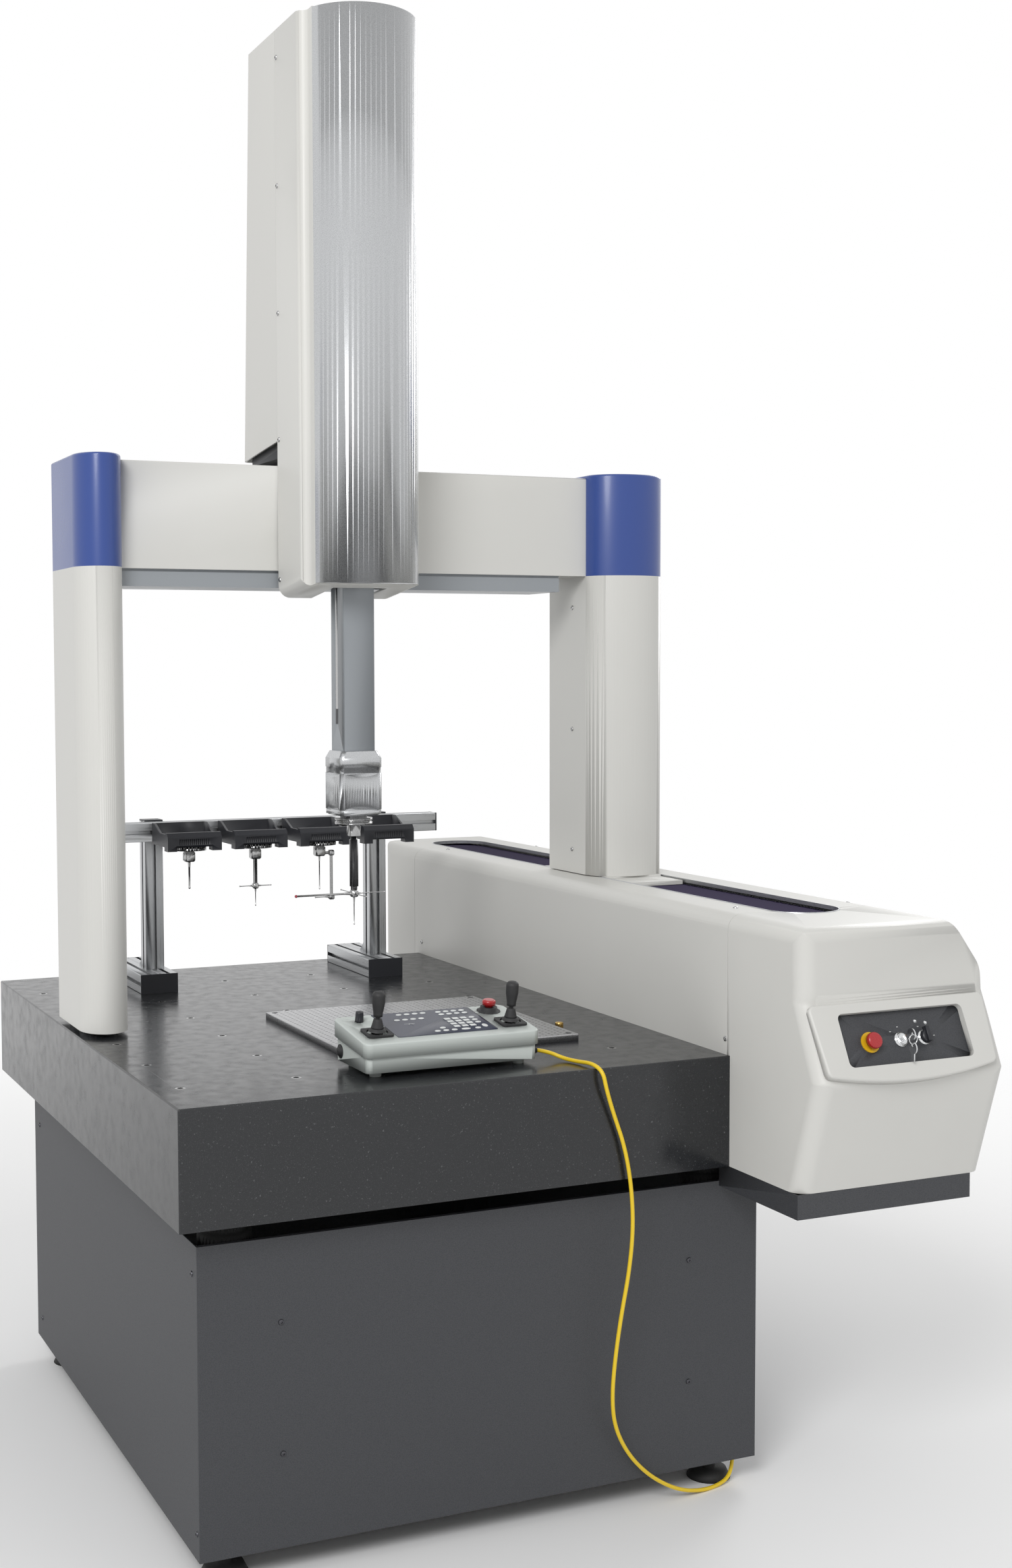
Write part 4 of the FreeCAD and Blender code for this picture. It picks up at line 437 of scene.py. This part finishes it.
# %% Dress the bridge
for node in ("left_column", "right_column", "bridge_beam", "z_front_cover", "z_rear_cover"):
    dress(node, cover_paint)
dress("column_caps", blue_paint)
dress("beam_rail", rail_paint)
dress("bridge_feet", [cover_paint, machined], lambda low, high, mid: int(high.x < 0))
dress("guide_bearings", machined)
dress("y_drive_motor", frame_paint)
dress("z_silver_cover", silver)
dress("carriage_frame", frame_paint)
dress("carriage_bearings", machined)
dress("carriage_motors", frame_paint)
for node in ("y_roller", "x_roller", "z_roller"):
    dress(node, steel)
dress("ram", rail_paint)
black_end = (at(0, 0, 574).z, at(0, 0, 603).z)
dress("ram_scale", [steel, black_plastic], lambda low, high, mid: int(black_end[0] < mid.z < black_end[1]), True)
dress("probe_head", silver)
dress("probe_adapter", steel)
stem_axis, stem_radius = at(528.5, 586, 0), 9.6 * MM
stem_low, stem_high, left_ball = at(0, 0, 262).z, at(0, 0, 356).z, at(411, 0, 0).x


def stylus_finish(low, high, mid):
    """0 steel, 1 the carbon stem on the probe's axis, 2 the ruby ball on the left arm."""
    if mid.x < left_ball:
        return 2
    near_axis = (mid.xy - stem_axis.xy).length < stem_radius
    return int(near_axis and stem_low < mid.z < stem_high)


dress("stylus_system", [steel, carbon, ruby], stylus_finish, True)
print("bridge dressed")

# %% [markdown]
# ## The rack, the plate and the console
# The rack is slotted extrusion with black end caps, and four black trays hang from it. The console is a
# moulded box with two joysticks.

# %% Dress the rack, plate and console
dress("rack_frame", [anodised, black_plastic, anodised_up, anodised_deep], lambda low, high, mid:
      1 if min(high - low) < 0.0035 else 2 if high.z - low.z > 0.2 else 3 if high.y - low.y > 0.2 else 0)
dress("stylus_holders", black_plastic)
dress("parked_styli", steel)
dress("fixture_plate", plate_metal)
dress("fixture_screw", brass)
dress("console_base", console_plastic)
dress("console_shell", console_plastic)
dress("console_keypad", foil_dark)
stop_place = at(626, 195, 0)
dress("console_fittings", [soft_black, yellow_plastic], lambda low, high, mid:
      int((mid.xy - stop_place.xy).length < 0.01 and high.x - low.x > 0.038 and high.z - low.z < 0.009))
for side_name in ("left", "right"):
    dress(side_name + "_stick_gimbal", steel)
    dress(side_name + "_stick", soft_black)
dress("console_knob", black_plastic)
dress("console_estop_button", red_plastic)
print("console dressed")

# %% [markdown]
# ## Small pieces that repeat
# Screws, keys, teeth and the dark discs of painted shade that stand for drilled holes are one small shape
# each, set at many places. A Geometry Nodes tree does the setting: it puts an instance of the piece on every
# point of a mesh, turned and sized by two named attributes, makes the instances real and gives them their
# finish. The result becomes a plain mesh.


# %% Build the repeating tree
def turned(name, profile, segments):
    """A mesh turned about Z from (radius, height) pairs in millimetres, open at the bottom."""
    points, faces = [], []
    for radius, height in profile:
        for i in range(segments):
            angle = 2 * math.pi * i / segments
            points.append((radius * MM * math.cos(angle), radius * MM * math.sin(angle), height * MM))
    for ring in range(len(profile) - 1):
        for i in range(segments):
            a, b = ring * segments + i, ring * segments + (i + 1) % segments
            faces.append((a, b, b + segments, a + segments))
    faces.append(tuple(range((len(profile) - 1) * segments, len(profile) * segments)))
    mesh = bpy.data.meshes.new(name)
    mesh.from_pydata(points, [], faces)
    mesh.polygons.foreach_set("use_smooth", [True] * len(faces))
    mesh.set_sharp_from_angle(angle=SHARP)
    return mesh


def block(name, size, bevel=0.2, segments=1):
    """A block on its own base centre with rounded edges, all in millimetres."""
    mesh = bpy.data.meshes.new(name)
    work = bmesh.new()
    bmesh.ops.create_cube(work, size=1.0)
    for vertex in work.verts:
        vertex.co = Vector((vertex.co.x * size[0], vertex.co.y * size[1], (vertex.co.z + 0.5) * size[2])) * MM
    bmesh.ops.bevel(work, geom=list(work.edges), offset=bevel * MM, segments=segments, affect="EDGES")
    work.to_mesh(mesh)
    work.free()
    return mesh


def new_repeater():
    tree = bpy.data.node_groups.new("repeat", "GeometryNodeTree")
    face = tree.interface
    face.new_socket("Places", in_out="INPUT", socket_type="NodeSocketGeometry")
    face.new_socket("Piece", in_out="INPUT", socket_type="NodeSocketObject")
    face.new_socket("Finish", in_out="INPUT", socket_type="NodeSocketMaterial")
    face.new_socket("Result", in_out="OUTPUT", socket_type="NodeSocketGeometry")
    make = tree.nodes.new
    given, result = make("NodeGroupInput"), make("NodeGroupOutput")
    piece, setter = make("GeometryNodeObjectInfo"), make("GeometryNodeInstanceOnPoints")
    real, finish = make("GeometryNodeRealizeInstances"), make("GeometryNodeSetMaterial")
    turn, size = make("GeometryNodeInputNamedAttribute"), make("GeometryNodeInputNamedAttribute")
    turn.data_type = size.data_type = "FLOAT_VECTOR"
    turn.inputs["Name"].default_value = "turn"
    size.inputs["Name"].default_value = "size"
    join = tree.links.new
    join(given.outputs["Places"], setter.inputs["Points"])
    join(given.outputs["Piece"], piece.inputs["Object"])
    join(piece.outputs["Geometry"], setter.inputs["Instance"])
    join(turn.outputs[0], setter.inputs["Rotation"])
    join(size.outputs[0], setter.inputs["Scale"])
    join(setter.outputs["Instances"], real.inputs["Geometry"])
    join(real.outputs["Geometry"], finish.inputs["Geometry"])
    join(given.outputs["Finish"], finish.inputs["Material"])
    join(finish.outputs["Geometry"], result.inputs["Result"])
    return tree


repeater = new_repeater()
socket_id = {item.name: item.identifier for item in repeater.interface.items_tree}


def repeat(name, shape, places, finish, body):
    """Set shape at every (place, euler, size); size is three factors."""
    cloud = bpy.data.meshes.new(name + "_places")
    cloud.from_pydata([p[0] for p in places], [], [])
    for label, index in (("turn", 1), ("size", 2)):
        values = [v for p in places for v in p[index]]
        cloud.attributes.new(label, "FLOAT_VECTOR", "POINT").data.foreach_set("vector", values)
    holder, source = link(name + "_holder", cloud), link(name + "_source", shape)
    modifier = holder.modifiers.new("repeat", "NODES")
    modifier.node_group = repeater
    modifier[socket_id["Piece"]] = source
    modifier[socket_id["Finish"]] = finish.material
    bpy.context.view_layer.update()
    mesh = bpy.data.meshes.new_from_object(holder.evaluated_get(bpy.context.evaluated_depsgraph_get()))
    mesh.name = name
    for scratch in (holder, source):
        bpy.data.objects.remove(scratch)
    made = link(name, mesh)
    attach(made, body)
    return made


def facing(direction):
    """The euler that turns +Z to a direction."""
    return tuple(Vector(direction).to_track_quat("Z", "Y").to_euler())


STRAIGHT, FULL = (0, 0, 0), (1, 1, 1)
surfaces = {}


def seat(node, start, direction):
    """The (place, euler, size) where a line from start first meets a node, square to its surface."""
    if node not in surfaces:
        mesh = frame["nodes"][node].data
        surfaces[node] = BVHTree.FromPolygons([v.co for v in mesh.vertices], [p.vertices for p in mesh.polygons])
    place, normal, _, _ = surfaces[node].ray_cast(start, Vector(direction))
    if place is None:
        raise ValueError(f"no surface of {node} from {[round(v / MM) for v in start - corner]}")
    if normal.dot(Vector(direction)) > 0:
        normal = -normal
    return place, facing(normal), (1.0, 1.0, 1.0)


screw_shape = turned("screw", ((4.9, -0.3), (4.9, 0.5), (4.2, 1.7), (2.9, 2.3), (2.0, 2.35), (1.9, 0.9)), 20)
print("repeater ready", sorted(socket_id))

# %% [markdown]
# ## Screws
# Cap screws hold the panels and the covers. Each is set on the surface itself, found by a line cast at it.

# %% Set the screws
BACK, RIGHT, DOWN, LEFT = (0, 1, 0), (1, 0, 0), (0, 0, -1), (-1, 0, 0)
front_places = ((184, -376), (186, -594), (951, -372), (951, -592))
left_places = ((79, -286), (65, -707), (1180, -286), (1180, -704))
right_places = ((79, -300), (65, -707), (1180, -300), (1180, -707))
stand_screws = [seat("front_panel", at(x, -400, z), BACK) for x, z in front_places]
stand_screws += [seat("side_panels", at(-400, y, z), RIGHT) for y, z in left_places]
stand_screws += [seat("side_panels", at(1500, y, z), LEFT) for y, z in right_places]
repeat("stand_screws", screw_shape, stand_screws, oxide_and_hole_shade, "base")
cover_places = ((1062, 79), (1304, 76), (1066, 1325), (1304, 1325))
cover_screws = [seat("guide_cover", at(x, y, 500), DOWN) for x, y in cover_places]
cover_screws += [seat("guide_cover", at(700, y, z), RIGHT) for y, z in ((14, 28), (1333, 29))]
repeat("cover_screws", screw_shape.copy(), cover_screws, steel, "base")
column_screws = [seat("right_column", at(800, 726, z), RIGHT) for z in (805, 552, 299)]
repeat("column_screws", screw_shape.copy(), column_screws, steel, "bridge")
housing_heights = (1830, 1592, 1354, 1116, 850)
housing_screws = [seat("z_front_cover", at(100, 654, z), RIGHT) for z in housing_heights]
housing_screws += [seat("z_front_cover", at(1000, 654, z), LEFT) for z in housing_heights]
repeat("housing_screws", screw_shape.copy(), housing_screws, steel, "carriage")
print("screws", len(stand_screws) + len(cover_screws) + len(column_screws) + len(housing_screws))

# %% [markdown]
# ## The bellows
# Finely pleated cloth closes the slot before and behind the bridge. A pleat is a fold up and a fold down, so
# the cloth is a zigzag with a flat base. On the machine one end stays with the table and the other goes with
# the bridge, and the pleats between them share the way as they close up and open; here each bellows is one
# still mesh with even pleats.


# %% Fold the bellows
def pleated(name, y_first, y_last, pleats):
    slot_left, slot_right, base, valley, crest = 1092.6, 1231.4, 226.0, 231.4, 237.4
    points, faces = [], []
    for i in range(2 * pleats + 1):
        y = y_first + (y_last - y_first) * i / (2 * pleats)
        top = crest if i % 2 else valley
        points += [at(slot_left, y, base), at(slot_left, y, top), at(slot_right, y, top), at(slot_right, y, base)]
    for i in range(2 * pleats):
        for k in range(4):
            a, b = 4 * i + k, 4 * i + (k + 1) % 4
            faces.append((a, b, b + 4, a + 4))
    faces += [(3, 2, 1, 0), tuple(8 * pleats + k for k in range(4))]
    mesh = bpy.data.meshes.new(name)
    mesh.from_pydata(points, [], faces)
    mesh.materials.append(bellows_cloth.material)
    return link(name, mesh)


front_pleats = pleated("front_pleats", -80, 611.6, 96)
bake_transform(front_pleats)
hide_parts("front_bellows")
rear_pleats = pleated("rear_pleats", 822.4, 1565, 103)
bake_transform(rear_pleats)
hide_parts("rear_bellows")
print("pleats", len(front_pleats.data.polygons), len(rear_pleats.data.polygons))

# %% [markdown]
# ## The drilled plate and the knurled screw
# The fixture plate has a dense square grid of small holes, each with a bright chamfer. Each hole is drawn as a
# thin dark disc set on the plate, its sloped rim standing for the chamfer in the same dark finish: painted shade
# for the hole's depth. The knurl on the brass screw is a ring of thin ribs.

# %% Set the dark discs of painted shade for the plate's holes, and the knurl
plate_low, plate_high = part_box("fixture_plate")
hole_pitch, holes_each_way = 12.5, 35
# Each hole is a thin dark disc on the plate: painted shade standing in for the hole's depth.
hole_shade_disc = turned("hole", ((2.3, 0.02), (1.9, 0.05), (1.8, 0.05)), 10)
first_hole, plate_top = (391.5, 245.5), 12.0
grid = [(at(first_hole[0] + hole_pitch * i, first_hole[1] + hole_pitch * j, plate_top), STRAIGHT, FULL)
        for i in range(holes_each_way) for j in range(holes_each_way)]
# The discs take the dark black-oxide finish, which here is painted shade for the holes.
repeat("plate_holes", hole_shade_disc, grid, oxide_and_hole_shade, "base")
ribs, knurl_radius, screw_axis, knurl_foot = 36, 7.4, (848, 348), 2.5
knurl = []
for i in range(ribs):
    angle = 2 * math.pi * i / ribs
    place = at(screw_axis[0] + knurl_radius * math.cos(angle), screw_axis[1] + knurl_radius * math.sin(angle),
               knurl_foot)
    knurl.append((place, (0, 0, angle), FULL))
repeat("screw_knurl", block("rib", (0.6, 0.8, 9.0), 0.15), knurl, brass, "base")
print("holes", len(grid), "plate", [round(v, 4) for v in plate_high - plate_low])

# %% [markdown]
# ## The keypad
# The console's keys are low oval pads on a dark foil. They sit in two groups of eight, a number block and a
# bottom row, and every place is a share of the foil's width and depth.

# %% Set the keys
foil_low, foil_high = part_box("console_keypad")
deck_rise, deck_depth = 20.6, 152
deck_tilt = math.asin(deck_rise / deck_depth)


def on_foil(across, back, lift=0.0):
    x = foil_low.x + across * (foil_high.x - foil_low.x)
    y = foil_low.y + back * (foil_high.y - foil_low.y)
    return Vector((x, y, foil_high.z - (foil_high.y - y) * math.tan(deck_tilt) + lift * MM))


def row(first, last, back, count, width=1.0, depth=1.0):
    step = (last - first) / max(count - 1, 1)
    return [(on_foil(first + step * i, back), (deck_tilt, 0, 0), (width, depth, 1.0)) for i in range(count)]


oval_keys = row(0.256, 0.501, 0.893, 4) + row(0.177, 0.422, 0.675, 4)
oval_keys += row(0.656, 0.896, 0.884, 4) + row(0.658, 0.896, 0.775, 4)
oval_keys += [key for back in (0.560, 0.453, 0.345) for key in row(0.902, 0.902, back, 1)]
oval_keys += row(0.42, 0.589, 0.110, 3) + row(0.704, 0.704, 0.108, 1, 1.6) + row(0.827, 0.827, 0.110, 1)
oval_keys += row(0.504, 0.504, 0.222, 1) + row(0.919, 0.919, 0.185, 1, 0.9, 2.0)
oval_shape = turned("oval_key", ((5.3, -0.2), (5.3, 0.5), (4.9, 0.9), (4.0, 1.05)), 24)
oval_share = 0.72
for vertex in oval_shape.vertices:
    vertex.co.y *= oval_share
square_keys = [key for back in (0.560, 0.453, 0.345, 0.237) for key in row(0.652, 0.815, back, 3)]
repeat("oval_keys", oval_shape, oval_keys, key_white, "base")
repeat("number_keys", block("number_key", (11.0, 8.6, 1.0), 0.4, 2), square_keys, key_white, "base")
axis_arms = [(on_foil(0.253, 0.50, 0.05), (deck_tilt, 0, math.pi * i / 3), (1.0, 1.0, 1.0)) for i in range(3)]
repeat("axis_mark", block("arm", (20.0, 0.7, 0.15), 0.05), axis_arms, key_white, "base")
print("keys", len(oval_keys) + len(square_keys))

# %% [markdown]
# ## Lamps and marks on the control panel
# Two small lamps sit above the rotary switch, and short white ticks mark the positions of both switches.

# %% Mark the panel
panel_tilt, panel_middle, cast_distance = math.radians(26), at(1181.5, -242, 61), 0.1
panel_up = Vector((0, math.sin(panel_tilt), math.cos(panel_tilt)))
panel_out = Vector((0, -math.cos(panel_tilt), math.sin(panel_tilt)))


def on_control(u, v):
    """The place on the panel u to the right of its middle and v up its slope, in millimetres."""
    start = panel_middle + Vector((u, 0, 0)) * MM + panel_up * v * MM + panel_out * cast_distance
    return seat("control_panel", start, -panel_out)


lamps = [on_control(u, v) for u, v in ((33.0, 25.0), (53.0, 21.0))]
lamp_shape = turned("lamp", ((3.1, -0.2), (3.1, 0.8), (2.4, 1.2), (2.2, 2.2), (1.2, 3.0)), 16)
repeat("panel_lamps", lamp_shape, lamps, chrome, "base")
tick_places = ((-22.0, 11.0), (-5.5, 18.0), (11.0, -4.0), (36.0, 15.5), (50.0, 14.0), (64.0, -2.0))
ticks = [on_control(u, v) for u, v in tick_places]
repeat("panel_ticks", block("tick", (3.4, 1.0, 0.2), 0.05), ticks, key_white, "base")
print("lamps and ticks", len(lamps), len(ticks))

# %% [markdown]
# ## The toothed strip beside the slot
# A black strip of fine teeth runs along the slot's right edge, where the bellows' sliders run.

# %% Set the teeth
tooth_pitch, teeth = 10.0, 150
strip_x, strip_start, strip_z = 1229.0, -25, 238.0
strip = [(at(strip_x, strip_start + tooth_pitch * i, strip_z), STRAIGHT, FULL) for i in range(teeth)]
repeat("slot_teeth", block("tooth", (3.0, 5.0, 1.6), 0.3), strip, black_plastic, "base")
print("teeth", teeth, "strip length in mm", tooth_pitch * (teeth - 1))

# %% [markdown]
# ## The free cable
# A soft yellow cable leaves the console's right side, lies on the stone, drops over the table's front edge
# and goes back into the stand from below. One smooth NURBS curve through a given route is all it needs: the
# route's points follow the sag that gravity gives the cable, so they lie closer where it bends. It replaces the
# plain tube of the solid model.

# %% Lay the cable
CABLE_DIAMETER, CABLE_LENGTH = 0.007, 1.17
route = [at(*p) for p in (
    (670.8, 97, 20), (694, 97, 15), (714, 82, 5), (725, 48, 4.2), (733, 12, 7.5), (739, -15, -2),
    (744, -18, -32), (760, -13, -75), (783, -12, -135), (797, -11, -205), (801, -11, -280), (796, -6, -356),
    (784, 0, -432), (775, 5, -509), (772, 10, -574), (781, 18, -632), (812, 30, -688), (852, 38, -733),
    (896, 42, -766), (938, 44, -786), (984, 52, -796.3), (1020, 60, -796.3), (1046, 68, -790),
    (1062, 79, -772), (1064, 82, -752.8))]
curve = bpy.data.curves.new("cable", "CURVE")
curve.dimensions = "3D"
curve.bevel_depth = CABLE_DIAMETER / 2
curve.bevel_resolution = 5
curve.resolution_u = 12
line = curve.splines.new("NURBS")
line.points.add(len(route) - 1)
for point, place in zip(line.points, route):
    point.co = (*place, 1.0)
line.order_u = 3
line.use_endpoint_u = True
curve.materials.append(sheath.material)
cable = link("console_lead", curve)
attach(cable, "base")
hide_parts("console_cable")
print("cable points", len(route))

# %% [markdown]
# ## Light and floor
# The object stands on a plain pale floor under an even studio sky, with one large soft lamp from the front
# left. The camera sees white behind the object, and so do shiny metals, but the light that falls on the
# object is lower, so its white paint keeps its shape.

# %% Set the studio
world = bpy.data.worlds.new("studio")
world.use_nodes = True
bpy.context.scene.world = world
sky = world.node_tree
sky_light = sky.nodes["Background"]
sky_light.inputs["Color"].default_value = (1.0, 1.0, 1.0, 1)
sky_light.inputs["Strength"].default_value = 0.62
backdrop = sky.nodes.new("ShaderNodeBackground")
backdrop.inputs["Color"].default_value = (1, 1, 1, 1)
rays = sky.nodes.new("ShaderNodeLightPath")
seen = rays.outputs["Is Camera Ray"]
for kind in ("Is Glossy Ray", "Is Transmission Ray"):
    either = sky.nodes.new("ShaderNodeMath")
    either.operation = "MAXIMUM"
    sky.links.new(seen, either.inputs[0])
    sky.links.new(rays.outputs[kind], either.inputs[1])
    seen = either.outputs[0]
choice = sky.nodes.new("ShaderNodeMixShader")
sky.links.new(seen, choice.inputs[0])
sky.links.new(sky_light.outputs[0], choice.inputs[1])
sky.links.new(backdrop.outputs[0], choice.inputs[2])
sky.links.new(choice.outputs[0], sky.nodes["World Output"].inputs["Surface"])


def lamp(name, place, target, size, power):
    data = bpy.data.lights.new(name, "AREA")
    data.shape, data.size, data.energy = "DISK", size, power
    made = bpy.data.objects.new(name, data)
    bpy.context.collection.objects.link(made)
    made.location = place
    made.rotation_mode = "QUATERNION"
    made.rotation_quaternion = (Vector(target) - Vector(place)).to_track_quat("-Z", "Y")


lamp("key", (-3.4, -4.2, 4.2), (0, 0, 1.2), 2.4, 170)
lamp("rim", (4.0, 2.5, 3.6), (0.2, 0, 1.4), 2.0, 60)

floor_mesh = bpy.data.meshes.new("floor")
floor_mesh.from_pydata([(-12, -8, 0), (12, -8, 0), (12, 16, 0), (-12, 16, 0)], [], [(0, 1, 2, 3)])
floor = link("floor", floor_mesh)
floor_finish = Finish("studio_floor", (0.92, 0.92, 0.92), 0.9)
spread = floor_finish.add("ShaderNodeVectorMath", {"operation": "LENGTH"}, {0: floor_finish.place()}, output=1)
floor_finish.vary("Alpha", floor_finish.ramp(spread, 1.6, 4.2, 1.0, 0.0))
floor_mesh.materials.append(floor_finish.material)
bpy.context.scene.view_settings.view_transform = "Standard"
print("studio set")
